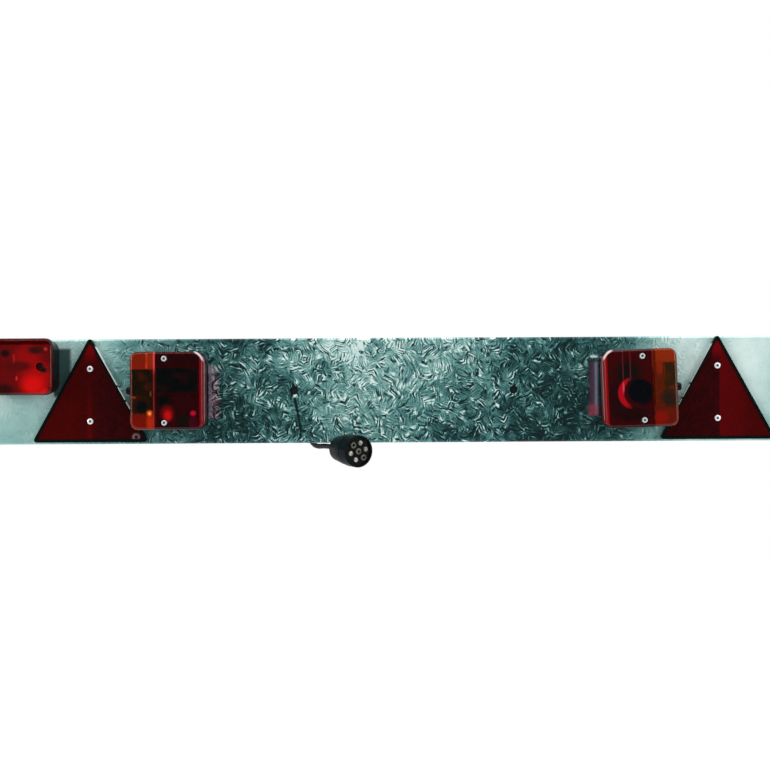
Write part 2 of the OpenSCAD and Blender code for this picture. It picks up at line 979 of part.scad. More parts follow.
module fog_cable() {
    from = lamp_point(left, fog_hole);
    to = [-fog_x + fog_hole_at[0], fog_z + fog_hole_at[1]];
    middle = (from[0] + to[0]) / 2;
    route = [
        [from[0], -4, from[1]], [from[0], 3, from[1]], [from[0] - 1, 9, from[1]],
        [from[0] - 7, bow_y - 1.5, from[1] + 2], [from[0] - 20, bow_y, from[1] + 8],
        [middle + 2 * clip_run, bow_y - 5, link_z - 5],
        [middle + clip_run, link_y + 0.6, link_z - 0.5],
        [middle + clip_run / 2, link_y, link_z], [middle, link_y, link_z],
        [middle - clip_run / 2, link_y, link_z],
        [middle - clip_run, link_y + 0.6, link_z + 0.2],
        [middle - 2 * clip_run, bow_y - 5, link_z + 2],
        [to[0] + 20, bow_y, to[1] - 1], [to[0] + 7, bow_y - 1.5, to[1]], [to[0] + 1, 9, to[1]],
        [to[0], 3, to[1]], [to[0], -4, to[1]],
    ];
    color("black")
        cable(route, link_d, 2, 8);
}

// A stuck-on saddle round a cable that runs along X at a depth y
module saddle(d, y, length) {
    rotate([90, 0, 90])
        translate([y, 0, 0])
            difference() {
                union() {
                    cylinder(d = d + 2 * clip_wall, h = length, center = true);
                    translate([web_back - y, -d, -length / 2])
                        cube([clip_base_t, 2 * d, length]);
                    translate([web_back - y, -d / 2 - clip_wall, -length / 2])
                        cube([y - web_back, d + 2 * clip_wall, length]);
                }
                cylinder(d = d + 2 * gap, h = length + 2, center = true);
            }
}

module cable_clips() {
    color("dimgray") {
        for (x = clip_x)
            translate([x, 0, link_z])
                saddle(link_d, link_y, clip_w);
        translate([(lamp_point(left, fog_hole)[0] - fog_x + fog_hole_at[0]) / 2, 0, link_z])
            saddle(link_d, link_y, clip_w);
    }
}

module supply_clamp() {
    color("dimgray")
        translate([clamp_x, 0, supply_z])
            saddle(supply_d, supply_y, clamp_len);
}

module supply_lead() {
    from = lamp_point(left, supply_hole);
    route = concat(
        leave_web(from, 1, supply_z, supply_y),
        [[clamp_x, supply_y, supply_z], [clamp_x + clamp_len / 2, supply_y, supply_z]]
    );
    color("black")
        cable(route, supply_d, 2, 10);
}

module free_lead() {
    color("black")
        cable(free_lead_route, supply_d, 2, 10);
}

module cable_tail() {
    color("black")
        cable(concat(cable_tail_route, [for (b = [84, 71, 60, 52, 45]) plug_point(b)]), supply_d, 2, 10);
}

// The hank and its ties

module stadium(r) {
    square([hank_run, 2 * r], center = true);
    for (s = [-1, 1])
        translate([s * hank_run / 2, 0])
            circle(r, $fn = 96);
}

module cable_hank() {
    color("black")
        translate([0, hank_y[1], hank_z])
            rotate([90, 0, 0])
                linear_extrude(hank_y[1] - hank_y[0])
                    difference() {
                        stadium(hank_out);
                        stadium(hank_in);
                    }
}

module hank_ties() {
    mid = (hank_out + hank_in) / 2;
    across = [hank_y[1] - hank_y[0] + 2 * tie_gap, hank_out - hank_in + 2 * tie_gap];
    color("gainsboro")
        for (x = tie_x, s = [-1, 1])
            translate([x, (hank_y[0] + hank_y[1]) / 2, hank_z + s * mid])
                rotate([90, 0, 90]) {
                    linear_extrude(tie_w, center = true)
                        difference() {
                            square([across[0] + 2 * tie_t, across[1] + 2 * tie_t], center = true);
                            square(across, center = true);
                        }
                    translate([across[0] / 2 + tie_t - eps, -3, -3.2])
                        cube([4, 6, 6.4]);
                }
}

// Plug, in its own frame: z out of its face, and the face's rim at z = 0

plug_total = plug_len + plug_gland_len + boot_len;
plug_way = [cos(plug_pitch) * sin(plug_yaw), -cos(plug_pitch) * cos(plug_yaw), -sin(plug_pitch)];
function plug_point(back) = plug_at - back * plug_way;
outer_contacts = [
    for (a = [contact_turn:60:contact_turn + 300]) contact_circle / 2 * [cos(a), sin(a)]
];
sleeve_places = [outer_contacts[2], outer_contacts[5], [0, 0]];
pin_places = [outer_contacts[0], outer_contacts[1], outer_contacts[3], outer_contacts[4]];

module plug_frame() {
    translate(plug_at)
        rotate([90 + plug_pitch, 0, plug_yaw])
            children();
}

module plug_shell() {
    r = plug_d / 2;
    rear = plug_rear_d / 2;
    color("darkslategray")
        plug_frame()
            difference() {
                rotate_extrude($fn = 96)
                    polygon([
                        [0, 0], [r - 0.8, 0], [r, -0.8], [r, -barrel_len],
                        [r - groove_depth, -barrel_len], [r - groove_depth, -barrel_len - groove_len],
                        [r - 0.5, -barrel_len - groove_len], [r - 1.2, -barrel_len - groove_len - 9],
                        [rear, -plug_len + 2], [rear - 2, -plug_len], [0, -plug_len],
                    ]);
                translate([0, 0, -carrier_recess - carrier_t])
                    cylinder(d = plug_bore_d, h = 40, $fn = 96);
                translate([0, 0, -plug_len + 4])
                    cylinder(d1 = plug_rear_d - 8, d2 = plug_bore_d - 4, h = plug_cavity_len + eps);
                translate([0, 0, -plug_len - 1])
                    cylinder(d = plug_gland_hole, h = 10);
                rotate([0, 0, 45])
                    translate([plug_bore_d / 2 - 1, -2.5, -carrier_recess])
                        cube([3, 5, 10]);
            }
}

module plug_carrier() {
    color("black")
        plug_frame()
            difference() {
                translate([0, 0, -carrier_recess - carrier_t])
                    cylinder(d = plug_bore_d - 2 * gap, h = carrier_t, $fn = 96);
                for (p = pin_places)
                    contact_hole(p, pin_d);
                for (p = sleeve_places)
                    contact_hole(p, sleeve_d);
            }
}

module contact_hole(p, d) {
    translate([p[0], p[1], -carrier_recess - carrier_t - 1])
        cylinder(d = d + 0.1, h = carrier_t + 2);
}

module plug_pins() {
    color("gold")
        plug_frame()
            for (p = pin_places)
                translate([p[0], p[1], -carrier_recess - carrier_t - 3]) {
                    cylinder(d = pin_d, h = carrier_t + 3 + contact_rise - 1);
                    translate([0, 0, carrier_t + 2 + contact_rise - eps])
                        cylinder(d1 = pin_d, d2 = pin_d * 0.6, h = 1);
                }
}

module plug_sleeves() {
    color("gold")
        plug_frame()
            for (p = sleeve_places)
                translate([p[0], p[1], -carrier_recess - carrier_t - 3])
                    difference() {
                        cylinder(d = sleeve_d, h = carrier_t + 3 + contact_rise);
                        translate([0, 0, 5])
                            cylinder(d = sleeve_bore_d, h = carrier_t + 3 + contact_rise);
                    }
}

module plug_gland() {
    color("black")
        plug_frame()
            difference() {
                union() {
                    translate([0, 0, -plug_len - plug_gland_len])
                        cylinder(d = plug_gland_d, h = plug_gland_len);
                    translate([0, 0, -plug_len - eps])
                        cylinder(d = plug_gland_hole - 2 * gap, h = 3);
                }
                translate([0, 0, -plug_len - plug_gland_len - 1])
                    cylinder(d = supply_d + 0.2, h = plug_gland_len + 20);
            }
}

module plug_boot() {
    color("black")
        plug_frame()
            translate([0, 0, -plug_total])
                difference() {
                    cylinder(d1 = supply_d + 3, d2 = plug_gland_d - 4, h = boot_len);
                    translate([0, 0, -1])
                        cylinder(d = supply_d + 0.2, h = boot_len + 2);
                }
}

board();
triangle_back(left);  // triangle_back_left
triangle_back(right);  // triangle_back_right
triangle_reflector(left);  // triangle_reflector_left
triangle_reflector(right);  // triangle_reflector_right
triangle_rivets(left);  // triangle_rivets_left
triangle_rivets(right);  // triangle_rivets_right
lamp_base(left);  // lamp_base_left
lamp_base(right);  // lamp_base_right
lamp_seal(left);  // lamp_seal_left
lamp_seal(right);  // lamp_seal_right
red_lens(left);  // red_lens_left
red_lens(right);  // red_lens_right
amber_lens(left);  // amber_lens_left
amber_lens(right);  // amber_lens_right
lens_screws(left);  // lens_screws_left
lens_screws(right);  // lens_screws_right
bulb_plate(left);  // bulb_plate_left
bulb_plate(right);  // bulb_plate_right
bulb_sockets(left);  // bulb_sockets_left
bulb_sockets(right);  // bulb_sockets_right
stop_bulb(left);  // stop_bulb_left
stop_bulb(right);  // stop_bulb_right
indicator_bulb(left);  // indicator_bulb_left
indicator_bulb(right);  // indicator_bulb_right
side_gland(left);  // side_gland_left
side_gland(right);  // side_gland_right
lamp_bolts(left);  // lamp_bolts_left
lamp_bolts(right);  // lamp_bolts_right
lamp_nuts(left);  // lamp_nuts_left
lamp_nuts(right);  // lamp_nuts_right
fog_base();
fog_seal();
fog_lens();
fog_screws();
fog_reflector();
fog_socket();
fog_bulb();
fog_bolts();
fog_nuts();
grommets();
link_cable();
fog_cable();
cable_clips();
supply_lead();
supply_clamp();
free_lead();
cable_hank();
hank_ties();
cable_tail();
plug_shell();
plug_carrier();
plug_pins();
plug_sleeves();
plug_gland();
plug_boot();
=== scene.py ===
import math

import bpy
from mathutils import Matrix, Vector


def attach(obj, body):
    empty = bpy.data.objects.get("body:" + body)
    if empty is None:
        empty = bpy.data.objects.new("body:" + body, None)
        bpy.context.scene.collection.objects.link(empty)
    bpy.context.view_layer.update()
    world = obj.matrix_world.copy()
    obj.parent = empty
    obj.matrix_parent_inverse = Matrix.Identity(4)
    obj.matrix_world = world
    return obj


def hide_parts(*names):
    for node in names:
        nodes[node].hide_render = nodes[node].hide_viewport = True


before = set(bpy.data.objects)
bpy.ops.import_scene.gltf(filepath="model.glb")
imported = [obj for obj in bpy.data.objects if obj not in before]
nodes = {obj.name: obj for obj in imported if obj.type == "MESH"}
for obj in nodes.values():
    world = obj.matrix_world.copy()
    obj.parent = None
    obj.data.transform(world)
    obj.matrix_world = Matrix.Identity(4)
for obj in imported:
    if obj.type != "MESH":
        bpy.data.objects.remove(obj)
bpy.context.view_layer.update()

mm = 0.001

# The photograph's view: its 770 pixels, and the board in metres
view = {
    "pixels": 770,
    "centre": (403.8, 389.5),  # the pixel straight ahead
    "mmPerPixel": 1.366,  # at the board's face
    "distance": 1.9,
    "height": 0.8 * mm,
    "roll": 0.32,
    "sensor": 36,
    "clipStart": 0.05,
}


def makeCamera():
    data = bpy.data.cameras.new("camera")
    data.sensor_width = view["sensor"]
    seenWidth = view["pixels"] * view["mmPerPixel"] * mm
    data.lens = view["sensor"] * view["distance"] / seenWidth
    data.shift_x = (view["pixels"] / 2 - view["centre"][0]) / view["pixels"]
    data.shift_y = (view["centre"][1] - view["pixels"] / 2) / view["pixels"]
    data.clip_start = view["clipStart"]
    camera = bpy.data.objects.new("camera", data)
    camera.location = (0, -view["distance"], view["height"])
    camera.rotation_euler = (math.radians(90), math.radians(view["roll"]), 0)
    bpy.context.collection.objects.link(camera)
    bpy.context.scene.camera = camera


def seen(x, y, depth=0.0):
    # The board's X and Z, in millimetres, of a pixel of the photograph at a depth in front of the board
    near = 1 - depth * mm / view["distance"]
    right = (x - view["centre"][0]) * view["mmPerPixel"]
    up = (view["centre"][1] - y) * view["mmPerPixel"]
    roll = math.radians(view["roll"])
    return (
        (right * math.cos(roll) - up * math.sin(roll)) * near,
        (right * math.sin(roll) + up * math.cos(roll)) * near + view["height"] / mm,
    )


makeCamera()
print("camera made")

# The free cable, in millimetres until it is a curve
cord = {
    "diameter": 7 * mm,
    "lead": [
        (-193, 6.65, -24), (-187, 6.65, -24), (-180, 6.65, -24), (-165, 7, -25.2), (-148, 7.5, -30.5),
        (-130, 7.5, -39.5), (-112, 7.5, -51), (-93, 7.5, -60.8), (-77, 7.5, -64.6),
    ],
    "tail": [
        (-76.2, 14.7, 37.8), (-88.3, 15.9, 36.4), (-99.7, 18.6, 33.3), (-110, 22.6, 28.1),
        (-118.4, 27.7, 20.9), (-124.9, 33.2, 12.1), (-129.5, 38.6, 2.2), (-132.5, 43.3, -8.6),
        (-134.4, 47.1, -20), (-135.3, 49.7, -31.9), (-135.5, 50.8, -44.1), (-134.6, 49.5, -56.1),
        (-131.4, 44.5, -66.7), (-126.1, 36.4, -74), (-119.7, 26.5, -76.9), (-113, 16.3, -76.5),
    ],
    "plugFace": (-59.6, -66, -80.6),
    "plugPitch": 3,
    "plugYaw": 33,
    "insidePlug": (84, 71, 60, 52, 45),  # back from the plug's face
    "run": 140,  # the hank's straight runs
    "outer": 52.5,  # radius of its outermost turn
    "hankZ": -12.6,
    "layers": (7.5, 14.5),
    "step": 7,  # from one turn to the next
    "arcSteps": 8,
    "runSteps": 4,
    "quartersIn": 18,
    "quartersOut": 16,
}


def hankTurns():
    # A quarter is a bottom run, a right arc, a top run or a left arc. The turns go inwards on one
    # layer and outwards on the next.
    points = []
    radius = cord["outer"]
    first, second = cord["layers"]
    grow = cord["step"] / 4
    quarters = [(k % 4, -grow, first, first) for k in range(cord["quartersIn"])]
    quarters.append((2, grow, first, second))
    quarters += [(k % 4, grow, second, second) for k in range(3, 3 + cord["quartersOut"])]
    run, z = cord["run"], cord["hankZ"]
    for side, growth, start, end in quarters:
        count = cord["arcSteps"] if side % 2 else cord["runSteps"]
        for i in range(count):
            t = i / count
            r = radius + growth * t
            y = start + (end - start) * t
            if side % 2:
                way = 1 if side == 1 else -1
                angle = math.pi * (t - 0.5)
                points.append((way * (run / 2 + r * math.cos(angle)), y, z + way * r * math.sin(angle)))
            else:
                way = -1 if side == 0 else 1
                points.append((way * run * (0.5 - t), y, z + way * r))
        radius += growth
    points.append((-run / 2, second, z + radius))
    return points


def makeCord():
    pitch, yaw = math.radians(cord["plugPitch"]), math.radians(cord["plugYaw"])
    way = Vector((math.cos(pitch) * math.sin(yaw), -math.cos(pitch) * math.cos(yaw), -math.sin(pitch)))
    intoPlug = [tuple(Vector(cord["plugFace"]) - back * way) for back in cord["insidePlug"]]
    route = cord["lead"] + hankTurns() + cord["tail"] + intoPlug
    data = bpy.data.curves.new("cable", "CURVE")
    data.dimensions = "3D"
    data.bevel_depth = cord["diameter"] / 2
    data.bevel_resolution = 4
    data.resolution_u = 4
    data.use_fill_caps = True
    spline = data.splines.new("BEZIER")
    spline.bezier_points.add(len(route) - 1)
    for point, place in zip(spline.bezier_points, route):
        point.co = [c * mm for c in place]
        point.handle_left_type = "AUTO"
        point.handle_right_type = "AUTO"
    cable = bpy.data.objects.new("cable", data)
    bpy.context.collection.objects.link(cable)
    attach(cable, "root")
    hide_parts("free_lead", "cable_hank", "cable_tail")
    length = sum(math.dist(a, b) for a, b in zip(route, route[1:])) * mm
    return cable


cable = makeCord()
print("cord made")


# Nodes and their maths

class Value:
    def __init__(self, net, socket):
        self.net = net
        self.socket = socket

    def maths(self, operation, *others):
        return self.net.maths(operation, self, *others)

    def __add__(self, other):
        return self.maths("ADD", other)

    def __sub__(self, other):
        return self.maths("SUBTRACT", other)

    def __rsub__(self, other):
        return self.net.maths("SUBTRACT", other, self)

    def __mul__(self, other):
        return self.maths("MULTIPLY", other)

    def __truediv__(self, other):
        return self.maths("DIVIDE", other)

    def __abs__(self):
        return self.maths("ABSOLUTE")

    def __pow__(self, other):
        return self.maths("POWER", other)

    __radd__ = __add__
    __rmul__ = __mul__

    def rise(self, low, high):
        # 0 below low and 1 above high, smoothly; falls where high is the lower one
        made = self.net.node(
            "ShaderNodeMapRange", {"interpolation_type": "SMOOTHSTEP"}, {0: self, 1: low, 2: high}
        )
        return Value(self.net, made.outputs[0])

    def between(self, low, high, soft):
        return self.rise(low - soft, low + soft) * self.rise(high + soft, high - soft)


def spoken(key):
    # baseColor as Base Color
    known = {"specularIORLevel": "Specular IOR Level", "ior": "IOR"}
    return known.get(key) or "".join(" " + c if c.isupper() else c for c in key).title()


class Net:
    def __init__(self, name, owner=None):
        self.owner = owner or bpy.data.materials.new(name)
        self.owner.use_nodes = True
        self.tree = self.owner.node_tree
        self.tree.nodes.clear()

    def node(self, kind, settings=None, sockets=None):
        made = self.tree.nodes.new(kind)
        for name, setting in (settings or {}).items():
            if name == "stops":
                ramp = made.color_ramp
                while len(ramp.elements) < len(setting):
                    ramp.elements.new(1)
                for element, (position, colour) in zip(ramp.elements, setting):
                    element.position = position
                    element.color = (*colour, 1)
            elif name == "blend":
                made.color_ramp.interpolation = setting
            else:
                setattr(made, name, setting)
        for key, given in (sockets or {}).items():
            socket = made.inputs[key]
            if isinstance(given, Value):
                self.tree.links.new(given.socket, socket)
            elif isinstance(given, bpy.types.NodeSocket):
                self.tree.links.new(given, socket)
            elif socket.type == "RGBA":
                socket.default_value = (*given, 1)
            else:
                socket.default_value = given
        return made

    def maths(self, operation, *inputs):
        made = self.node("ShaderNodeMath", {"operation": operation}, dict(enumerate(inputs)))
        return Value(self, made.outputs[0])

    def place(self):
        # Object coordinates, in millimetres
        coords = self.node("ShaderNodeTexCoord").outputs["Object"]
        sockets = {0: coords, "Scale": 1 / mm}
        return self.node("ShaderNodeVectorMath", {"operation": "SCALE"}, sockets).outputs[0]

    def split(self, vector):
        made = self.node("ShaderNodeSeparateXYZ", None, {0: vector})
        return [Value(self, out) for out in made.outputs]

    def join(self, x=0.0, y=0.0, z=0.0):
        return self.node("ShaderNodeCombineXYZ", None, {0: x, 1: y, 2: z}).outputs[0]

    def noise(self, vector, size, detail=2.0, dimensions="3D"):
        # About 0 to 1, with features of a size in millimetres
        made = self.node(
            "ShaderNodeTexNoise",
            {"noise_dimensions": dimensions},
            {"Vector": vector, "Scale": 1 / size, "Detail": detail},
        )
        return Value(self, made.outputs[0])

    def cells(self, vector, size, feature="F1", dimensions="3D"):
        return self.node(
            "ShaderNodeTexVoronoi",
            {"feature": feature, "voronoi_dimensions": dimensions},
            {"Vector": vector, "Scale": 1 / size},
        )

    def red(self, colour):
        # A colour's red part, as a cell's own random number
        return Value(self, self.node("ShaderNodeSeparateColor", None, {0: colour}).outputs[0])

    def ramp(self, value, stops, blend="LINEAR"):
        settings = {"stops": stops, "blend": blend}
        return self.node("ShaderNodeValToRGB", settings, {0: value}).outputs[0]

    def mix(self, factor, a, b):
        settings = {"data_type": "RGBA", "clamp_factor": True}
        return self.node("ShaderNodeMix", settings, {0: factor, 6: a, 7: b}).outputs[2]

    def bump(self, height, distance):
        # Height of 0 to 1 stands for a distance in millimetres
        sockets = {"Height": height, "Distance": distance * mm}
        return self.node("ShaderNodeBump", None, sockets).outputs[0]

    def disc(self, x, z, centre, radius, soft):
        # 1 inside a circle of the X and Z given, 0 outside
        away = ((x - centre[0]) ** 2 + (z - centre[1]) ** 2) ** 0.5
        return away.rise(radius + soft, radius - soft)

    def surface(self, **sockets):
        named = {spoken(key): given for key, given in sockets.items()}
        return self.node("ShaderNodeBsdfPrincipled", None, named).outputs[0]

    def blend(self, factor, a, b):
        return self.node("ShaderNodeMixShader", None, {0: factor, 1: a, 2: b}).outputs[0]

    def finish(self, shader):
        kind = "World" if isinstance(self.owner, bpy.types.World) else "Material"
        self.node("ShaderNodeOutput" + kind, None, {"Surface": shader})
        return self.owner


def srgb(red, green, blue):
    # A colour as a picture's numbers, 0 to 255
    def linear(c):
        c /= 255
        return c / 12.92 if c <= 0.04045 else ((c + 0.055) / 1.055) ** 2.4
    return (linear(red), linear(green), linear(blue))


def dress(material, *names):
    for name in names:
        data = (nodes[name] if isinstance(name, str) else name).data
        data.materials.clear()
        data.materials.append(material)


# Galvanised sheet: zinc crystals that grew like feathers

zinc = {
    "cell": 24,  # across one crystal flower
    "smallCell": 11,
    "chevron": 0.8,  # how far a flower's strokes lean back from its stem
    "smallChevron": 0.15,
    "width": 2.5,  # from one bright stroke to the next
    "length": 12,
    "wobble": (3, 3, 0),  # how far the strokes bend
    "wobbleSize": 9,
    "contrast": (0.9, 3.4),  # of the strokes: everywhere, and what crisp patches add
    "flowerTones": 0.26,  # from one flower to the next
    "smallTones": 0.18,
    "grainTones": 0.3,
    "seams": 0.12,  # how dark the lines between flowers are
    "fall": 0.14,  # how much darker the sheet is low down, and lighter in its upper middle
    "metallic": 0.3,
    "roughness": 0.36,
    "shades": [
        (0.0, srgb(8, 36, 38)), (0.2, srgb(24, 66, 67)), (0.4, srgb(60, 111, 110)),
        (0.6, srgb(102, 154, 151)), (0.8, srgb(158, 201, 196)), (1.0, srgb(224, 245, 240)),
    ],
    # Along the board, as seen pixels: how light it is, and how strong the crystals show, both painted
    # reflection: pale where the sheet mirrors the bright studio near its ends, dark with crisp crystals
    # where it mirrors the dark room in its middle
    "light": [
        (0, 0.93), (60, 0.9), (110, 0.71), (165, 0.48), (225, 0.26), (290, 0.48), (350, 0.73),
        (430, 0.62), (500, 0.38), (560, 0.23), (600, 0.23), (640, 0.72), (690, 1.0), (770, 0.92),
    ],
    "strength": [
        (0, 0.04), (100, 0.08), (165, 0.6), (230, 0.95), (470, 1.0), (600, 0.7), (640, 0.3),
        (690, 0.04), (770, 0.02),
    ],
    "row": 390,  # the pixel row on which these are read
}

# Painted reflections on the sheet's face beside the lamps, with painted shade between each lamp and its
# image and a painted glint, and a dark mark on the sheet, with places in pixels
paintedReflectionsAndMark = {
    # the left lamp's red side as a painted reflection, a painted haze beside it, and painted shade in
    # the gap by the lamp
    "left": ((208.6, 364), (218, 416)),
    "leftShadeGap": (204, 390),  # from here to the image the sheet is dark
    "leftShades": [(0.34, srgb(26, 22, 30)), (0.5, srgb(104, 46, 70)), (0.64, srgb(206, 180, 196))],
    "leftPaintedShade": srgb(8, 22, 24),
    "haze": srgb(132, 126, 142),
    "hazeWidth": 4.4,
    # the right lamp's side as a painted reflection, pink at its foot, painted shade in the gap by the
    # lamp, and a painted glint above
    "right": ((588.5, 364), (598.5, 417)),
    "rightShadeGap": (603, 390),
    "rightShades": [
        (0.0, srgb(52, 50, 66)), (0.3, srgb(84, 50, 76)), (0.55, srgb(92, 70, 96)),
        (0.75, srgb(150, 152, 172)), (1.0, srgb(52, 64, 76)),
    ],
    "rightPaintedShade": srgb(16, 36, 44),
    "blush": srgb(186, 56, 84),  # at the right image's foot
    "glint": (594, 358.6),
    "paintedGlintShade": srgb(222, 236, 236),
    # the fog lamp's dark side as a painted reflection
    "fog": ((71.4, 345), (54, 393)),
    "fogShades": [(0.3, srgb(8, 38, 41)), (0.7, srgb(22, 68, 69))],
    "mark": ((294.5, 396), (301, 431)),  # a dark run under the left fixing hole
    "markShade": srgb(8, 30, 32),
}


def curveAlong(net, x, points):
    # A number that changes along the board, by steps given as pixels of the photograph
    places = [seen(pixel, zinc["row"])[0] for pixel, _ in points]
    first, last = places[0], places[-1]
    stops = [((place - first) / (last - first), (v, v, v)) for place, (_, v) in zip(places, points)]
    along = (x - first) / (last - first)
    ramp = net.ramp(along, stops, "B_SPLINE")
    return Value(net, net.node("ShaderNodeRGBToBW", None, {0: ramp}).outputs[0])


def feathers(net, flat, cell, chevron):
    # Strokes of a crystal flower: they run outwards from its stem, or one way all through it
    flower = net.cells(flat, cell, dimensions="2D")
    sockets = {0: flat, 1: flower.outputs["Position"]}
    away = net.node("ShaderNodeVectorMath", {"operation": "SUBTRACT"}, sockets)
    seed = net.red(flower.outputs["Color"])
    sockets = {0: away.outputs[0], "Angle": seed * math.tau}
    turned = net.node("ShaderNodeVectorRotate", {"rotation_type": "Z_AXIS"}, sockets)
    along, across, _ = net.split(turned.outputs[0])
    stem = abs(across)
    ridge = along - stem * chevron
    strokes = net.join(ridge / zinc["width"], stem / zinc["length"] + seed * 40, 0)
    return net.noise(strokes, 1, 1.0, "2D"), seed


# Painted reflection of the left lamp's red side on the sheet, a painted haze beside it, and painted
# shade in the gap by the lamp
def leftPaintedReflection(net, x, up, face, colour, strokes):
    (startX, top), (endX, bottom) = [seen(*corner) for corner in paintedReflectionsAndMark["left"]]
    jag = (net.noise(net.join(x / 14, up / 3, 0), 1, 2, "2D") - 0.5) * 26
    image = (x + jag).rise(endX + 2, endX - 2) * up.between(bottom, top, 3)
    image = image * x.rise(startX - 0.5, startX + 0.5) * face
    colour = net.mix(image * 0.75, colour, net.ramp(strokes, paintedReflectionsAndMark["leftShades"]))
    haze = x.between(startX, startX + paintedReflectionsAndMark["hazeWidth"], 1) * up.between(bottom, top, 4) * face
    colour = net.mix(haze * 0.6, colour, paintedReflectionsAndMark["haze"])
    gap = x.between(seen(*paintedReflectionsAndMark["leftShadeGap"])[0], startX, 0.7) * up.between(bottom - 10, top + 2, 4)
    return net.mix(gap * face * 0.9, colour, paintedReflectionsAndMark["leftPaintedShade"])


# Painted reflection of the right lamp's side, pink at its foot, painted shade in the gap by the lamp,
# and a painted glint above it
def rightPaintedReflection(net, x, up, face, colour):
    (endX, top), (startX, bottom) = [seen(*corner) for corner in paintedReflectionsAndMark["right"]]
    image = x.rise(endX - 3, endX + 4) * x.rise(startX + 0.6, startX - 0.6)
    image = image * up.between(bottom, top, 2.5) * face
    plum = net.ramp((x - endX) / (startX - endX), paintedReflectionsAndMark["rightShades"])
    plum = net.mix(up.rise(bottom + 20, bottom + 6) * 0.7, plum, paintedReflectionsAndMark["blush"])
    colour = net.mix(image * 0.9, colour, plum)
    gap = x.between(startX, seen(*paintedReflectionsAndMark["rightShadeGap"])[0], 0.7) * up.between(bottom - 8, top + 4, 4)
    colour = net.mix(gap * face * 0.85, colour, paintedReflectionsAndMark["rightPaintedShade"])
    glintX, glintZ = seen(*paintedReflectionsAndMark["glint"])
    glint = abs(x - glintX).rise(6, 3) * abs(up - glintZ).rise(2.4, 0.8) * face
    return net.mix(glint, colour, paintedReflectionsAndMark["paintedGlintShade"])


# Painted reflection of the fog lamp's dark side, with a ragged edge
def fogPaintedReflection(net, x, up, face, colour, cloud, grain):
    (endX, top), (startX, bottom) = [seen(*corner) for corner in paintedReflectionsAndMark["fog"]]
    ragged = x - endX - (cloud - 0.5) * 8
    image = x.rise(startX - 1, startX + 1) * ragged.rise(2.5, -2.5)
    image = image * up.between(bottom, top, 2.5) * face
    return net.mix(image * 0.92, colour, net.ramp(grain, paintedReflectionsAndMark["fogShades"]))


def darkMark(net, x, up, face, colour, grain):
    (topX, top), (footX, foot) = [seen(*end) for end in paintedReflectionsAndMark["mark"]]
    slant = (footX - topX) / (foot - top)
    middle = x - (up - top) * slant - topX + (grain - 0.5) * 3
    mark = abs(middle).rise(2.6, 1.2) * up.between(foot, top, 1) * face
    return net.mix(mark, colour, paintedReflectionsAndMark["markShade"])


def galvanised():
    net = Net("galvanised")
    x, y, z = net.split(net.place())
    up = z - y  # goes on round the bends
    face = y.rise(0.6, 0.3)
    flat = net.join(x, up, 0)
    wobble = net.node(
        "ShaderNodeTexNoise",
        {"noise_dimensions": "2D"},
        {"Vector": flat, "Scale": 1 / zinc["wobbleSize"], "Detail": 2},
    )
    shift = net.node(
        "ShaderNodeVectorMath",
        {"operation": "MULTIPLY_ADD"},
        {0: wobble.outputs["Color"], 1: zinc["wobble"], 2: flat},
    ).outputs[0]
    big, seed = feathers(net, shift, zinc["cell"], zinc["chevron"])
    small, smallSeed = feathers(net, shift, zinc["smallCell"], zinc["smallChevron"])
    choose = net.noise(flat, 26, 1, "2D").rise(0.44, 0.56)
    strokes = big * choose + small * (1 - choose)
    edge = Value(net, net.cells(shift, zinc["cell"], "DISTANCE_TO_EDGE", "2D").outputs[0])
    grain = net.noise(flat, 1.6, 2, "2D")
    cloud = net.noise(flat, 45, 2, "2D")
    patch = net.noise(flat, 12, 2, "2D").rise(0.42, 0.66)
    # painted reflection along the board: its lightness and how strongly its crystals show
    light = curveAlong(net, x, zinc["light"])
    strength = curveAlong(net, x, zinc["strength"])

    least, more = zinc["contrast"]
    sharp = (strokes - 0.5) * (least + patch * more)
    sharp = sharp.maths("MAXIMUM", 0) * 0.85 + sharp.maths("MINIMUM", 0) * 1.1
    crystal = sharp + (seed - 0.5) * zinc["flowerTones"] + (smallSeed - 0.5) * zinc["smallTones"]
    crystal = crystal - edge.rise(0.03, 0.0) * zinc["seams"] + (grain - 0.5) * zinc["grainTones"]
    lower = up.rise(40, -72) - up.rise(20, 74) * abs(x + 60).rise(180, 60)
    tone = light + crystal * strength + (cloud - 0.5) * (strength * 0.3 + 0.22)
    tone = tone - lower * zinc["fall"] + (grain - 0.5) * 0.07

    colour = net.ramp(tone, zinc["shades"])
    # painted reflections of the lamps' sides, with painted shade and a painted glint beside them
    colour = leftPaintedReflection(net, x, up, face, colour, strokes)
    colour = rightPaintedReflection(net, x, up, face, colour)
    colour = fogPaintedReflection(net, x, up, face, colour, cloud, grain)
    colour = darkMark(net, x, up, face, colour, grain)
    bump = net.bump(strokes * strength + grain * 0.15, 0.12)
    rough = zinc["roughness"] + (grain - 0.5) * 0.2
    return net.finish(net.surface(
        baseColor=colour, metallic=zinc["metallic"], roughness=rough, normal=bump
    ))


# Plain finishes, each with its own grain

def moulded(name, dark, light, roughness, grainSize=1.2, shine=0.12):
    net = Net(name)
    place = net.place()
    grain = net.noise(place, grainSize, 3)
    cloud = net.noise(place, 22, 2)
    colour = net.mix(grain.rise(0.35, 0.7) * 0.6 + cloud.rise(0.35, 0.65) * 0.4, dark, light)
    rough = roughness + (cloud - 0.5) * 0.16 + (grain - 0.5) * 0.08
    bump = net.bump(grain, 0.03)
    return net.finish(net.surface(
        baseColor=colour, roughness=rough, specularIORLevel=shine, normal=bump
    ))


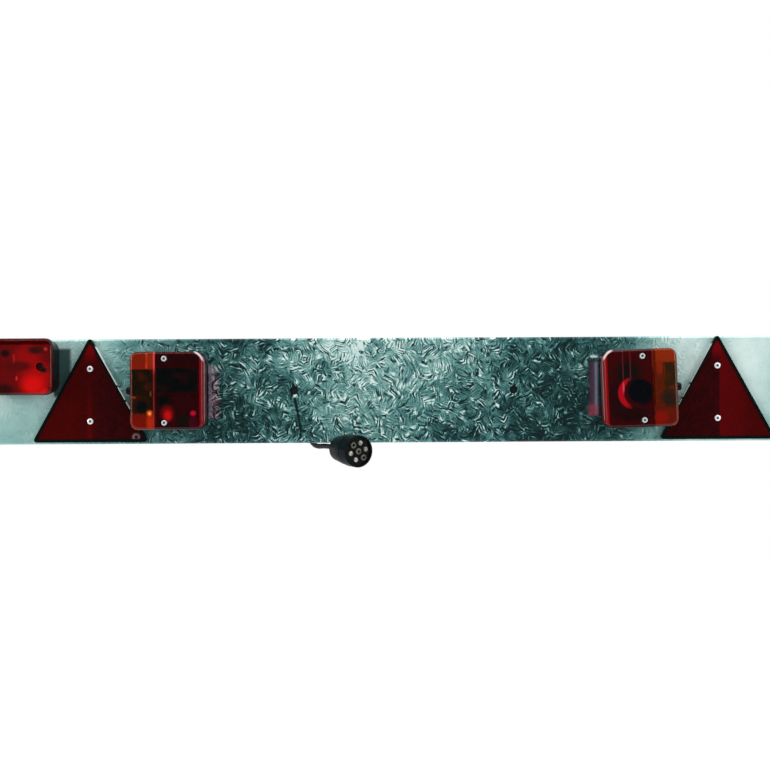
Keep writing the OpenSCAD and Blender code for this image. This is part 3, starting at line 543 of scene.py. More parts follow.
def metal(name, dark, light, roughness, grainSize=0.9, metallic=0.9):
    net = Net(name)
    place = net.place()
    grain = net.noise(place, grainSize, 3)
    cloud = net.noise(place, 7, 2)
    colour = net.mix(cloud.rise(0.3, 0.7), dark, light)
    rough = roughness + (grain - 0.5) * 0.25
    bump = net.bump(grain, 0.02)
    return net.finish(net.surface(baseColor=colour, metallic=metallic, roughness=rough, normal=bump))


def ringed(name, centres, radii, shades):
    # Two fasteners' heads, at X and Z: a dark middle, its grey edge, a bright ring, and what is beyond.
    # The dark middle is painted shade in the recess, and the darker shade beyond the ring is painted
    # shade round the head
    net = Net(name)
    x, _, z = net.split(net.place())
    grain = net.noise(net.place(), 0.8, 2)
    (ax, az), (bx, bz) = centres
    first = ((x - ax) ** 2 + (z - az) ** 2) ** 0.5
    second = ((x - bx) ** 2 + (z - bz) ** 2) ** 0.5
    away = first.maths("MINIMUM", second)
    colour = shades[0]
    for radius, shade in zip(radii, shades[1:]):
        colour = net.mix(away.rise(radius - 0.3, radius + 0.3), colour, shade)
    return net.finish(net.surface(
        baseColor=colour, metallic=0.35, roughness=0.3 + (grain - 0.5) * 0.2,
        normal=net.bump(grain, 0.02)
    ))


def dull(name, shade, roughness):
    return moulded(name, tuple(c * 0.7 for c in shade), tuple(c * 1.25 for c in shade), roughness)


# Triangle reflectors: a deep red prism field in a glossy black tray

triangles = {
    "x": 427,
    "width": 158.5,
    "height": 144,
    "bottom": -68.8,
    "prism": 2.6,
    # painted light on the prism field: a brighter band, one half lighter than the other and a brighter
    # apex, as light falls on the prisms
    "leftBand": (88.5, 92.5),  # pixels between which the field is brighter
    "rightBand": (718, 760),
    "bandRow": 400,
    "light": srgb(62, 3, 3),
    "dark": srgb(40, 5, 7),
    "bright": srgb(100, 2, 6),
    "sparkle": srgb(96, 6, 8),
    "scuff": (136.5, 434),  # a worn ring in the left one's corner
    "scuffShade": srgb(140, 122, 130),
    "tray": (srgb(5, 13, 11), srgb(12, 22, 20)),
    # a painted highlight on a tray's wall between these pixels
    "glintTop": 343.0,  # pixels over which a tray's wall catches the light
    "glintBottom": 408.0,
    "glint": srgb(226, 232, 232),
}


def prismField(side):
    net = Net("triangle_reflector")
    x, _, z = net.split(net.place())
    flat = net.join(x, z, 0)
    prisms = net.cells(flat, triangles["prism"], dimensions="2D")
    glint = net.red(prisms.outputs["Color"])
    relief = Value(net, prisms.outputs["Distance"])
    cloud = net.noise(flat, 16, 2, "2D")
    across = x - side * triangles["x"]
    # painted highlight at the apex
    apex = z.rise(34, 58) * abs(across).rise(9, 4)
    row = triangles["bandRow"]
    # painted light: one half lighter than the other, and a brighter band
    if side < 0:
        first, last = [seen(pixel, row)[0] for pixel in triangles["leftBand"]]
        half = across.rise(30, -30)
        band = x.between(first, last, 3) * z.rise(40, -40) * 0.35
    else:
        first, last = [seen(pixel, row)[0] for pixel in triangles["rightBand"]]
        half = x.rise(first - 1, first + 2) * (0.8 + (cloud - 0.5) * 0.4)
        band = x.rise(first - 1, first + 2) * x.rise(last, first) * 0.4
    colour = net.mix(half, triangles["dark"], triangles["light"])
    colour = net.mix(band.maths("MAXIMUM", apex), colour, triangles["bright"])
    colour = net.mix(glint * 0.1 + (cloud - 0.5) * 0.2, colour, triangles["sparkle"])
    if side < 0:
        sx, sz = seen(*triangles["scuff"])
        away = ((x - sx) ** 2 + (z - sz) ** 2) ** 0.5
        worn = away.between(2.4, 5.2, 1.2) * (cloud * 0.8 + 0.1)
        colour = net.mix(worn, colour, triangles["scuffShade"])
    bump = net.bump(relief, 0.12)
    return net.finish(net.surface(
        baseColor=colour, roughness=0.22 + glint * 0.06, specularIORLevel=0.06, normal=bump
    ))


def tray(side):
    # The wall that faces the middle of the board catches the light
    net = Net("black_tray")
    x, _, z = net.split(net.place())
    grain = net.noise(net.place(), 1.1, 3)
    half = triangles["width"] / 2
    lean = math.atan2(half, triangles["height"])
    across = (x - side * triangles["x"]) * -side - half
    out = across * math.cos(lean) + (z - triangles["bottom"]) * math.sin(lean)
    top = seen(0, triangles["glintTop"])[1]
    bottom = seen(0, triangles["glintBottom"])[1]
    broken = net.noise(net.join(0, 0, z), 5, 0).rise(0.34, 0.42).maths("MAXIMUM", z.rise(5, 20))
    # painted highlight on the wall that faces the middle, in broken dashes
    paintedHighlight = out.rise(-0.9, -0.35) * z.between(bottom, top, 2) * broken * (1.0 if side < 0 else 0.6)
    colour = net.mix(grain.rise(0.3, 0.7), *triangles["tray"])
    colour = net.mix(paintedHighlight, colour, triangles["glint"])
    return net.finish(net.surface(
        baseColor=colour, roughness=0.2 + (grain - 0.5) * 0.08, specularIORLevel=0.12,
        normal=net.bump(grain, 0.02)
    ))


rivet = {
    "gap": 71.5,
    "z": -4.5,
    "radii": (1.1, 1.9, 4.3),
    # the dark middle and the dark beyond the ring are painted shade
    "shades": (srgb(50, 58, 60), srgb(150, 158, 160), srgb(240, 244, 244), srgb(30, 34, 36)),
}


def rivetHeads(side):
    middle = side * triangles["x"]
    up = rivet["gap"] / 2
    centres = ((middle, rivet["z"] + up), (middle, rivet["z"] - up))
    return ringed("rivet", centres, rivet["radii"], rivet["shades"])


for side, word in ((-1, "left"), (1, "right")):
    dress(prismField(side), "triangle_reflector_" + word)
    dress(tray(side), "triangle_back_" + word)
    dress(rivetHeads(side), "triangle_rivets_" + word)
dress(galvanised(), "board")
print("board and reflectors finished")


# Rear lamps

lamp = {
    "x": 316,
    "z": 1,
    "turn": 1.9,  # the right one sits askew
    "width": 98.5,
    "height": 104.5,
    "depth": 50,
    "corner": 15,
    "seam": -16.25,
    "screw": (-3.3, 42.75),  # across, and up or down
    "redTint": (0.74, 0.035, 0.03),
    "amberTint": (0.92, 0.44, 0.04),
    "redShade": srgb(90, 5, 6),
    "amberShade": srgb(150, 44, 6),
    "solid": (0.12, 0.6),  # how solid the plastic's colour is: its face and its sides
    "gloss": 0.34,
}


def lampMath(side, x, z):
    # X and Z to across and up in a lamp's own frame, where the amber part is at minus: numbers or Values
    if side < 0:
        return x + lamp["x"], z - lamp["z"]
    turn = math.radians(lamp["turn"])
    u, v = lamp["x"] - x, z - lamp["z"]
    return u * math.cos(turn) - v * math.sin(turn), u * math.sin(turn) + v * math.cos(turn)


def lampSeen(side, x, y, depth):
    return lampMath(side, *seen(x, y, depth))


def lampPlace(net, side):
    x, y, z = net.split(net.place())
    a, b = lampMath(side, x, z)
    return a, b, y * -1


def fromEdge(a, b, width, height, corner):
    # How far inside a rounded outline a point is, in millimetres
    qa = abs(a) - (width / 2 - corner)
    qb = abs(b) - (height / 2 - corner)
    out = (qa.maths("MAXIMUM", 0) ** 2 + qb.maths("MAXIMUM", 0) ** 2) ** 0.5
    within = qa.maths("MAXIMUM", qb).maths("MINIMUM", 0)
    return corner - out - within


def clearPlastic(net, tint, body, colour, bump):
    # Tinted see-through plastic: body is how much of it is solid colour
    solid = net.surface(baseColor=colour, roughness=0.25, specularIORLevel=0.1, normal=bump)
    clear = net.node("ShaderNodeBsdfTransparent", None, {0: tint}).outputs[0]
    mixed = net.blend(body, clear, solid)
    sockets = {"Color": (lamp["gloss"],) * 3, "Roughness": 0.05, "Normal": bump}
    gloss = net.node("ShaderNodeBsdfAnisotropic", None, sockets).outputs[0]
    fresnel = Value(net, net.node("ShaderNodeFresnel", None, {"IOR": 1.49}).outputs[0])
    return net.finish(net.blend(fresnel, mixed, gloss))


def field(a, b, first, last, soft):
    # A soft rectangle between two corners
    low = [min(p, q) for p, q in zip(first, last)]
    high = [max(p, q) for p, q in zip(first, last)]
    return a.between(low[0], high[0], soft) * b.between(low[1], high[1], soft)


def spot(a, b, centre, reach):
    # A round or oval glow that fades outwards
    away = (((a - centre[0]) / reach[0]) ** 2 + ((b - centre[1]) / reach[1]) ** 2) ** 0.5
    return away.rise(1.15, 0.35)


def paintLightAndShade(net, a, b, toLens, paintedLight, front, colour, solidity, patches):
    # Paints fields and spots of painted light and shade over a lens's colour, and makes its plastic more
    # solid there
    face, sides = solidity
    body = face * front + sides * (1 - front)
    for first, last, soft, shade, solid in paintedLight["fields"]:
        mask = field(a, b, toLens(*first), toLens(*last), soft) * front
        colour = net.mix(mask * patches[0], colour, srgb(*shade))
        body = body.maths("MAXIMUM", mask * solid)
    for centre, reach, shade, solid in paintedLight["spots"]:
        reach = [r * view["mmPerPixel"] for r in reach]
        mask = spot(a, b, toLens(*centre), reach) * front
        colour = net.mix(mask * patches[1], colour, srgb(*shade))
        body = body.maths("MAXIMUM", mask * solid)
    return colour, body


# Painted light and shade on each lens, in pixels: glows of light showing through it, painted glints, and
# dark fields painted as shade inside. Fields: corners, softness in mm, colour, how solid.
# Spots: centre, half width and height, colour, how solid.
leftPaintedLight = {
    "amber": {
        "fields": [
            ((130, 366), (154, 411), 1.5, (24, 16, 7), 0.78),
            ((129, 350), (154, 366.5), 1.0, (122, 22, 3), 0.9),
            ((129, 411.5), (154, 431), 1.8, (98, 12, 2), 0.9),
            ((145.6, 350), (147.8, 365.5), 0.6, (176, 48, 18), 0.9),
        ],
        "spots": [
            ((139, 357), (9, 8), (116, 24, 4), 0.9),
            ((151, 358), (4, 10), (134, 34, 6), 0.9),
            ((140, 401), (12, 11), (44, 18, 5), 0.8),
            ((141, 403.5), (7.5, 7.5), (5, 12, 13), 0.92),
            ((136, 421), (8, 7), (112, 10, 2), 0.9),
            ((150, 420), (5, 11), (164, 34, 4), 0.9),
            ((149.3, 410.5), (3.6, 3.6), (214, 80, 14), 0.9),
            ((149.3, 410.8), (1.6, 2), (255, 150, 84), 0.95),
            ((133.5, 394.5), (3.2, 1.4), (140, 50, 24), 0.8),
            ((150.5, 391), (1.2, 3.5), (110, 44, 30), 0.7),
        ],
    },
    "red": {
        "fields": [
            ((155, 351), (200, 364), 3.0, (34, 4, 7), 0.85),
            ((155, 364), (199, 392), 3.5, (6, 9, 9), 0.88),
            ((155, 393), (199, 430), 5.0, (38, 3, 6), 0.8),
        ],
        "spots": [
            ((184, 398), (14, 10), (42, 4, 7), 0.8),
            ((164, 398), (10, 9), (6, 9, 9), 0.85),
            ((184, 420), (10, 10), (22, 14, 11), 0.8),
            ((167, 411), (8, 9.5), (104, 4, 7), 0.85),
            ((167.5, 413), (4.8, 6), (186, 5, 8), 0.9),
            ((192.8, 411), (3.3, 3.3), (180, 8, 40), 0.9),
            ((192.8, 421), (5, 9), (62, 4, 22), 0.7),
        ],
    },
}
rightPaintedLight = {
    "amber": {
        "fields": [
            ((655, 364), (664.5, 410), 2.0, (84, 24, 4), 0.85),
            ((664, 364), (684, 410), 2.0, (44, 27, 9), 0.9),
            ((655, 347), (684, 364.5), 1.5, (128, 36, 4), 0.92),
            ((655, 410), (684, 428), 1.5, (88, 18, 4), 0.92),
        ],
        "spots": [
            ((661, 420), (9, 7), (124, 10, 3), 0.9),
            ((660, 370), (5, 9), (120, 34, 4), 0.85),
            ((668, 400), (10, 8), (36, 24, 20), 0.9),
            ((673, 390), (5, 2.5), (82, 26, 14), 0.9),
        ],
    },
    "red": {
        "fields": [
            ((606, 349), (654, 428), 1.5, (56, 3, 5), 0.86),
            ((650, 350), (653, 426), 1.5, (42, 2, 5), 0.8),
        ],
        "spots": [
            ((628, 375), (17, 15), (20, 14, 12), 0.9),
            ((616, 400), (10, 22), (34, 8, 10), 0.85),
            ((632, 417), (22, 10), (28, 7, 9), 0.88),
            ((645, 398), (10, 14), (24, 5, 16), 0.85),
        ],
    },
}
# Painted light in the right lamp: a bright crescent of its lit dish, a painted highlight streak, lit
# ribs, and its globe painted dark
crescent = {  # round the right lamp's dark globe, in pixels: centres and radii
    "outer": ((634.2, 395.6), 16),
    "inner": ((638.8, 395), 15),
    "globe": ((640.5, 394), 12.5),
    "shade": srgb(168, 2, 20),
    "globeShade": srgb(6, 9, 14),
    "shine": ((623.6, 390), (1.1, 7)),
    "paintedShineShade": srgb(214, 60, 84),
    "ribs": (622.6, 629.9),
    "ribEnds": (350, 383),
    "ribShade": srgb(104, 30, 44),
}
# Painted light and shade on the lens edges: a glowing red band, a pale highlight line and a corner glint
# on the inner edge, rims painted darker as shade, and painted highlights along the seams
edges = {
    "band": (43.4, 44.6),  # across a lamp, where its inner rounded edge starts
    "leftBand": srgb(124, 5, 20),
    "rightBand": srgb(140, 3, 8),
    "line": srgb(216, 206, 208),
    "plain": srgb(64, 8, 8),
    "amber": srgb(120, 40, 8),
    "leftSeam": srgb(226, 70, 76),
    "rightSeam": srgb(110, 24, 18),
}


def paintedDishLight(net, a, b, toLens, front, colour):
    # Painted light and shade in the right lamp: its ribs as lit lines, its globe painted dark, a bright
    # crescent of the lit dish beside it and a painted highlight streak
    ribTop, ribFoot = crescent["ribEnds"]
    for pixel in crescent["ribs"]:
        rib, top = toLens(pixel, ribTop)
        foot = toLens(pixel, ribFoot)[1]
        mask = abs(a - rib).rise(1.3, 0.5) * b.between(foot, top, 3) * front * 0.5
        colour = net.mix(mask, colour, crescent["ribShade"])
    scale = view["mmPerPixel"] * (1 - lamp["depth"] * mm / view["distance"])
    places = [crescent[key] for key in ("outer", "inner", "globe")]
    outer, inner, globe = [(toLens(*centre), radius * scale) for centre, radius in places]
    paintedCrescent = net.disc(a, b, *outer, 1) * (1 - net.disc(a, b, *inner, 1))
    paintedCrescent = paintedCrescent * a.rise(outer[0][0] + 2, outer[0][0] + 12) * front
    colour = net.mix(net.disc(a, b, *globe, 2.5) * front, colour, crescent["globeShade"])
    colour = net.mix(paintedCrescent, colour, crescent["shade"])
    centre, reach = crescent["shine"]
    paintedStreak = spot(a, b, toLens(*centre), [r * scale for r in reach]) * front
    return net.mix(paintedStreak, colour, crescent["paintedShineShade"])


def innerEdge(net, a, b, depth, inside, shade, colour, body):
    # The edge that faces the middle of the board, all painted light: a red band of glow, a pale line as
    # a painted highlight and a painted glint on the corner above
    band = a.rise(*edges["band"]) * b.between(-48, 46, 3)
    colour = net.mix(band * 0.9, colour, shade)
    line = inside.rise(1.0, 0.5) * a.rise(44, 47)
    line = line * depth.between(37, 43.5, 1.5) * b.between(-42, 40, 4) * 0.85
    corner = inside.between(-0.5, 2.4, 0.7) * (a + b).rise(86, 90)
    corner = corner * b.rise(34, 38) * depth.rise(33, 37)
    line = line.maths("MAXIMUM", corner)
    colour = net.mix(line, colour, edges["line"])
    return colour, body.maths("MAXIMUM", band * 0.85).maths("MAXIMUM", line * 0.9)


def lampLens(side, red):
    net = Net("red_lens" if red else "amber_lens")
    part, word = "red" if red else "amber", "left" if side < 0 else "right"
    a, b, depth = lampPlace(net, side)
    inside = fromEdge(a, b, lamp["width"], lamp["height"], lamp["corner"])
    grain = net.noise(net.place(), 2.2, 2)
    cloud = net.noise(net.place(), 13, 2)
    front = depth.rise(lamp["depth"] - 7, lamp["depth"] - 5)

    def toLens(x, y):
        return lampSeen(side, x, y, lamp["depth"])

    # painted light and shade for this part of the lens
    paintedLight = (leftPaintedLight if side < 0 else rightPaintedLight)[part]
    patches = [cloud * 0.5 + 0.75] * 2
    colour, body = paintLightAndShade(
        net, a, b, toLens, paintedLight, front, lamp[part + "Shade"], lamp["solid"], patches
    )
    if red and side > 0:
        colour = paintedDishLight(net, a, b, toLens, front, colour)
    # rims painted darker as shade at the rounded edges
    rim = inside.rise(4.2, 1.2) * (1 - a.rise(40, 43)) * front
    colour = net.mix(rim * 0.6, colour, edges["plain"] if red else edges["amber"])
    if red:
        colour, body = innerEdge(net, a, b, depth, inside, edges[word + "Band"], colour, body)
    # a painted highlight along the seam, strongest at the top
    seam = abs(a - lamp["seam"]).rise(1.8, 0.6) * (b.rise(18, 34) * 0.65 + 0.26)
    colour = net.mix(seam, colour, edges[word + "Seam"])
    body = body.maths("MAXIMUM", seam * 0.9)
    bump = net.bump(cloud * 0.8 + grain * 0.1, 0.1)
    return clearPlastic(net, lamp[part + "Tint"], body, colour, bump)


lampInside = {
    "base": (srgb(6, 14, 14), srgb(16, 26, 26)),
    "seal": (srgb(8, 10, 11), srgb(18, 20, 21)),
    "sockets": (srgb(10, 10, 10), srgb(30, 30, 28)),
    "bulbs": srgb(26, 22, 20),
    "plate": (srgb(96, 94, 88), srgb(150, 148, 140)),
    "platePaintedShade": srgb(18, 16, 14),
    "dusk": (-8, 33),  # heights between which the plate is dark
    # lens screws: a dark slot painted as shade, its grey edge and a bright head
    "screw": (srgb(84, 90, 92), srgb(150, 156, 158), srgb(240, 244, 244)),
}


def bulbPlate(side):
    # Bright sheet, with painted shade round the bulbs
    net = Net("bulb_plate")
    b = lampPlace(net, side)[1]
    grain = net.noise(net.place(), 1.4, 2)
    cloud = net.noise(net.place(), 9, 2)
    colour = net.mix(cloud.rise(0.3, 0.7), *lampInside["plate"])
    # painted shade on the plate between two heights
    colour = net.mix(b.between(*lampInside["dusk"], 2) * 0.9, colour, lampInside["platePaintedShade"])
    return net.finish(net.surface(
        baseColor=colour, metallic=0.5, roughness=0.35 + (grain - 0.5) * 0.2,
        normal=net.bump(grain, 0.02)
    ))


def bulbGlass(name, shade):
    net = Net(name)
    place = net.place()
    cloud = net.noise(place, 6, 2)
    colour = net.mix(cloud.rise(0.3, 0.7), shade, tuple(c * 1.8 for c in shade))
    return net.finish(net.surface(
        baseColor=colour, roughness=0.08 + cloud * 0.06, coatWeight=0.6
    ))


def screwHeads(side):
    # Two lens screws, one above the other: a dark slot painted as shade in its recess, its grey edge and
    # a bright head
    net = Net("lens_screw")
    a, b, _ = lampPlace(net, side)
    across, up = lamp["screw"]
    slot, edge, head = lampInside["screw"]
    away = ((a - across) ** 2 + (abs(b) - up) ** 2) ** 0.5
    grain = net.noise(net.place(), 0.8, 2)
    colour = net.mix(away.rise(0.9, 1.5), slot, edge)
    colour = net.mix(away.rise(1.7, 2.4), colour, head)
    return net.finish(net.surface(
        baseColor=colour, metallic=0.35, roughness=0.3 + (grain - 0.5) * 0.2,
        normal=net.bump(grain, 0.02)
    ))


blackPlastic = moulded("lamp_base", *lampInside["base"], 0.3, 1.4)
sealRubber = moulded("seal", *lampInside["seal"], 0.75, 0.8)
socketShade = moulded("bulb_socket", *lampInside["sockets"], 0.4)
# the clear bulbs painted dark, as painted dark reflection
darkPaintedBulbs = bulbGlass("bulb", lampInside["bulbs"])
for side, word in ((-1, "left"), (1, "right")):
    dress(lampLens(side, True), "red_lens_" + word)
    dress(lampLens(side, False), "amber_lens_" + word)
    dress(bulbPlate(side), "bulb_plate_" + word)
    dress(screwHeads(side), "lens_screws_" + word)
    dress(blackPlastic, "lamp_base_" + word)
    dress(sealRubber, "lamp_seal_" + word)
    dress(socketShade, "bulb_sockets_" + word)
    dress(darkPaintedBulbs, "stop_bulb_" + word, "indicator_bulb_" + word)
print("rear lamps finished")


# Fog lamp

fog = {
    "x": -519.6,
    "z": 34,
    "width": 101,
    "height": 76,
    "depth": 45,
    "corner": 15,
    "bowl": 24.7,
    "tint": (0.88, 0.05, 0.03),
    "shade": srgb(110, 6, 8),
    "solid": (0.15, 0.6),
    "rimShade": srgb(52, 8, 9),
    # painted light and shade on the fog lens: glows of light through it, painted glints and dark patches
    # painted as shade
    "fields": [  # as for the rear lamps
        ((-40, 340), (53, 396), 1.0, (96, 5, 7), 0.85),
        ((39, 364.5), (53, 367.5), 1.6, (44, 10, 10), 0.9),
        ((13.0, 350), (15.4, 362), 0.6, (150, 26, 30), 0.5),
    ],
    "spots": [
        ((28, 352), (16, 14), (140, 4, 5), 0.85),
        ((36, 374), (20, 19), (158, 3, 4), 0.9),
        ((33, 381), (14, 12), (200, 4, 4), 0.95),
        ((45, 389), (7, 5), (206, 8, 7), 0.9),
        ((18, 362), (18, 6), (84, 6, 7), 0.9),
        ((4, 386), (12, 8), (44, 8, 10), 0.9),
        ((36, 346), (10, 5), (54, 12, 9), 0.9),
        ((5.5, 349), (5.5, 5), (34, 8, 9), 0.9),
        ((43.5, 366), (5, 3.4), (30, 14, 14), 0.9),
        ((16.7, 374), (1.3, 3), (206, 30, 30), 0.9),
        ((46, 345), (2.2, 2.2), (170, 40, 40), 0.7),
    ],
    # the bowl's painted glow
    "bowlPaintedGlow": ((120, 0, 0), (235, 14, 8)),  # as it shows through the lens
    "screw": 34,  # from the middle
    "screwRadii": (1.8, 2.6, 4.5),
    # the dark middle and the dark beyond the ring are painted shade
    "screwShades": (srgb(14, 8, 8), srgb(40, 26, 26), srgb(66, 44, 44), srgb(40, 26, 26)),
}


def fogLens():
    net = Net("fog_lens")
    x, y, z = net.split(net.place())
    inside = fromEdge(x - fog["x"], z - fog["z"], fog["width"], fog["height"], fog["corner"])
    cloud = net.noise(net.place(), 13, 2)
    front = y.rise(7 - fog["depth"], 5 - fog["depth"])

    def toLens(x, y):
        return seen(x, y, fog["depth"])

    patches = (1, cloud * 0.4 + 0.8)
    colour, body = paintLightAndShade(
        net, x, z, toLens, fog, front, fog["shade"], fog["solid"], patches
    )
    # rim painted darker as shade
    colour = net.mix(inside.rise(3.4, 1.0) * 0.8, colour, fog["rimShade"])
    return clearPlastic(net, fog["tint"], body, colour, net.bump(cloud * 0.8, 0.12))


def through(tint, red, green, blue):
    # How bright a thing inside is, so that it shows as this colour through both faces of a lens
    return tuple(min(c / t ** 2, 1.2) for c, t in zip(srgb(red, green, blue), tint))


def fogBowl():
    # Painted light: the bowl glows, brightest at its lower right, with a dark arc and a dark patch
    # painted as shade
    net = Net("fog_reflector")
    x, _, z = net.split(net.place())
    a, b = x - fog["x"], z - fog["z"]
    away = (a ** 2 + b ** 2) ** 0.5
    turn = b.maths("ARCTAN2", a)
    cloud = net.noise(net.place(), 8, 2)
    ring = away.between(fog["bowl"] - 3, fog["bowl"] + 3, 1.5)
    arc = ring * turn.between(0.2, 1.5, 0.2)
    lowRight = (a * 0.6 - b).rise(-26, 40)
    dim, bright = [through(fog["tint"], *shade) for shade in fog["bowlPaintedGlow"]]
    paintedLight = net.mix(lowRight, dim, bright)
    paintedLight = net.mix(arc * 0.85, paintedLight, (0.02, 0.0, 0.0))
    dark = net.disc(a, b, (-8, 0), 17, 6)
    paintedLight = net.mix(dark * 0.65, paintedLight, (0.03, 0.0, 0.0))
    colour = net.mix(cloud, (0.05, 0.04, 0.04), (0.16, 0.14, 0.14))
    return net.finish(net.surface(
        baseColor=colour, metallic=0.3, roughness=0.2 + (cloud - 0.5) * 0.1, emissionColor=paintedLight,
        emissionStrength=1.0
    ))


def fogScrews():
    centres = [(fog["x"] + side * fog["screw"], fog["z"]) for side in (-1, 1)]
    return ringed("fog_screws", centres, fog["screwRadii"], fog["screwShades"])


dress(fogLens(), "fog_lens")
dress(fogBowl(), "fog_reflector")
dress(fogScrews(), "fog_screws")
dress(blackPlastic, "fog_base")
dress(sealRubber, "fog_seal")
dress(socketShade, "fog_socket")
dress(darkPaintedBulbs, "fog_bulb")
print("fog lamp finished")


# Plug, cables and fasteners

plug = {
    "case": (srgb(6, 12, 15), srgb(18, 26, 30)),
    "carrier": (srgb(6, 8, 7), srgb(16, 16, 14)),
    "pins": (srgb(96, 98, 92), srgb(186, 188, 180)),
    "sleeves": (srgb(46, 47, 41), srgb(92, 94, 84)),
    "gland": (srgb(8, 11, 13), srgb(22, 26, 29)),
    "boot": srgb(16, 18, 20),
}
fittings = {
    "sheath": (srgb(12, 15, 17), srgb(38, 43, 46)),
    "clips": (srgb(14, 17, 19), srgb(34, 38, 41)),
    "ties": (srgb(14, 15, 16), srgb(36, 38, 40)),
    "grommets": srgb(14, 15, 16),
    "sideGland": (srgb(7, 11, 12), srgb(18, 24, 26)),
    "zincPlate": (srgb(150, 158, 160), srgb(206, 212, 212)),
}


def plugCase():
    net = Net("plug_shell")
    place = net.place()
    grain = net.noise(place, 0.9, 3)
    cloud = net.noise(place, 16, 2)
    colour = net.mix(grain.rise(0.3, 0.7), *plug["case"])
    return net.finish(net.surface(
        baseColor=colour, roughness=0.3 + (cloud - 0.5) * 0.2, ior=1.12, normal=net.bump(grain, 0.04)
    ))


def sheath():
    # Black, with a fine grain and a dusty bloom
    net = Net("cable")
    place = net.place()
    grain = net.noise(place, 0.8, 3)
    dust = net.noise(place, 30, 3)
    colour = net.mix(dust.rise(0.35, 0.7) * 0.5 + grain * 0.3, *fittings["sheath"])
    return net.finish(net.surface(
        baseColor=colour, roughness=0.42 + (dust - 0.5) * 0.2, specularIORLevel=0.15,
        normal=net.bump(grain, 0.05)
    ))


cableShade = sheath()
zincPlate = metal("zinc_plate", *fittings["zincPlate"], 0.34)
dress(plugCase(), "plug_shell")
dress(moulded("plug_carrier", *plug["carrier"], 0.4, 1.0, 0.06), "plug_carrier")
dress(metal("plug_pins", *plug["pins"], 0.3, 0.7, 0.4), "plug_pins")
dress(metal("plug_sleeves", *plug["sleeves"], 0.35, 0.7, 0.4), "plug_sleeves")
dress(moulded("plug_gland", *plug["gland"], 0.45), "plug_gland")
dress(dull("plug_boot", plug["boot"], 0.7), "plug_boot")
dress(cableShade, cable, "link_cable", "fog_cable", "supply_lead")
dress(moulded("clip", *fittings["clips"], 0.5), "cable_clips", "supply_clamp")
dress(moulded("tie", *fittings["ties"], 0.38), "hank_ties")
dress(dull("grommet", fittings["grommets"], 0.8), "grommets")
for word in ("left", "right"):
    dress(moulded("gland", *fittings["sideGland"], 0.35), "side_gland_" + word)
dress(zincPlate, *[name for name in nodes if "bolts" in name or "nuts" in name])
print("cables and fasteners finished")


# Stage: floor, light, and black discs behind the fixing holes as painted shade seen through them

stage = {
    "floorZ": -1.3,
    "floorRadius": 9,
    "floor": (0.84, 0.87),
    "floorGlow": 0.4,  # to the camera only
    "world": 0.72,
    "softboxes": [  # place, size and radiance
        ((-2.6, -1.5, 0.6), (0.7, 2.2), 7),
        ((2.6, -1.5, 0.6), (0.7, 2.2), 6),
        ((0, -0.9, 2.6), (2.6, 0.6), 5),
    ],
    "flagY": -2.7,  # a black flag behind the camera keeps black plastic black
    "flagRadius": 2.4,
    "flag": (0.01, 0.02),
    "holes": ((293.4, 389.7), (513, 388.2)),  # the fixing holes, in pixels
    "holeRadius": 14,
    "holeDepth": 3,
    "holePaintedShades": (srgb(0, 14, 18), srgb(2, 20, 24)),
}


def asMesh(name, material):
    made = bpy.context.active_object
    made.name = name
    bpy.ops.object.transform_apply(location=True, rotation=True, scale=True)
    made.data.materials.clear()
    made.data.materials.append(material)
    return made


def circle(name, material, radius, place, turn=(0, 0, 0)):
    bpy.ops.object.select_all(action="DESELECT")
    bpy.ops.mesh.primitive_circle_add(
        vertices=48, radius=radius, fill_type="NGON", location=place, rotation=turn
    )
    return asMesh(name, material)


def whenSeen(net, others=()):
    path = net.node("ShaderNodeLightPath")
    rays = Value(net, path.outputs["Is Camera Ray"])
    for other in others:
        rays = rays.maths("MAXIMUM", Value(net, path.outputs[other]))
    return rays


def greys(levels):
    return [(level, level, level) for level in levels]


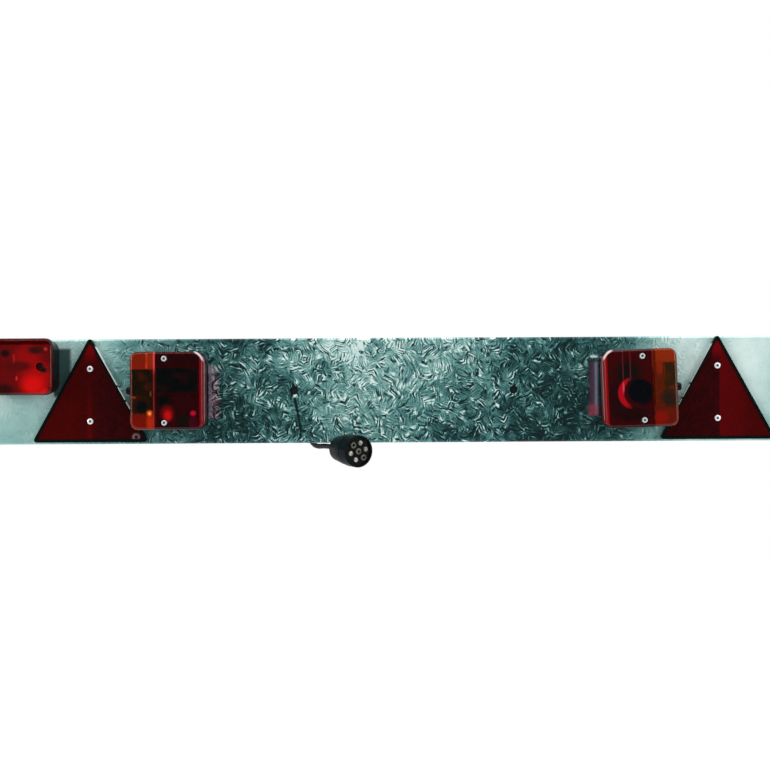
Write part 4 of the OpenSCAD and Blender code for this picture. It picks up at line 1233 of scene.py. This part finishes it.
def paleFloor():
    net = Net("floor")
    grain = net.noise(net.place(), 60, 2)
    colour = net.mix(grain, *greys(stage["floor"]))
    solid = net.surface(baseColor=colour, roughness=0.9)
    strength = whenSeen(net) * stage["floorGlow"]
    extra = net.node("ShaderNodeEmission", None, {"Strength": strength}).outputs[0]
    return net.finish(net.node("ShaderNodeAddShader", None, {0: solid, 1: extra}).outputs[0])


def flagBlack():
    net = Net("flag")
    grain = net.noise(net.place(), 20, 2)
    colour = net.mix(grain, *greys(stage["flag"]))
    return net.finish(net.surface(baseColor=colour, roughness=1.0))


def holeShadeDisc():
    # Painted shade seen through a fixing hole: black from in front, nothing from behind
    net = Net("hole_shade_disc")
    grain = net.noise(net.place(), 3, 2)
    solid = net.surface(baseColor=net.mix(grain, *stage["holePaintedShades"]), roughness=0.9)
    clear = net.node("ShaderNodeBsdfTransparent").outputs[0]
    behind = Value(net, net.node("ShaderNodeNewGeometry").outputs["Backfacing"])
    return net.finish(net.blend(behind, solid, clear))


def lightWorld():
    world = bpy.data.worlds.new("studio")
    bpy.context.scene.world = world
    net = Net("studio", world)
    white = whenSeen(net, ("Is Glossy Ray", "Is Transmission Ray"))
    level = white * (1 - stage["world"]) + stage["world"]
    sockets = {"Color": (1, 1, 1), "Strength": level}
    net.finish(net.node("ShaderNodeBackground", None, sockets).outputs[0])


def softbox(place, size, radiance):
    data = bpy.data.lights.new("softbox", "AREA")
    data.shape = "RECTANGLE"
    data.size, data.size_y = size
    data.energy = radiance * math.pi * size[0] * size[1]
    light = bpy.data.objects.new("softbox", data)
    light.location = place
    light.rotation_euler = (-Vector(place)).to_track_quat("-Z", "Z").to_euler()
    light.visible_camera = False
    bpy.context.collection.objects.link(light)


def makeStage():
    circle("floor", paleFloor(), stage["floorRadius"], (0, 0, stage["floorZ"]))
    lightWorld()
    for box in stage["softboxes"]:
        softbox(*box)
    upright = (math.radians(90), 0, 0)
    flag = circle("flag", flagBlack(), stage["flagRadius"], (0, stage["flagY"], 0), upright)
    flag.visible_camera = False
    flag.visible_diffuse = False
    flag.visible_shadow = False
    back = holeShadeDisc()
    for x, y in stage["holes"]:
        across, up = seen(x, y)
        place = (across * mm, stage["holeDepth"] * mm, up * mm)
        circle("hole_shade_disc", back, stage["holeRadius"] * mm, place, upright)


makeStage()
bpy.context.scene.view_settings.view_transform = "Standard"
print("stage made")
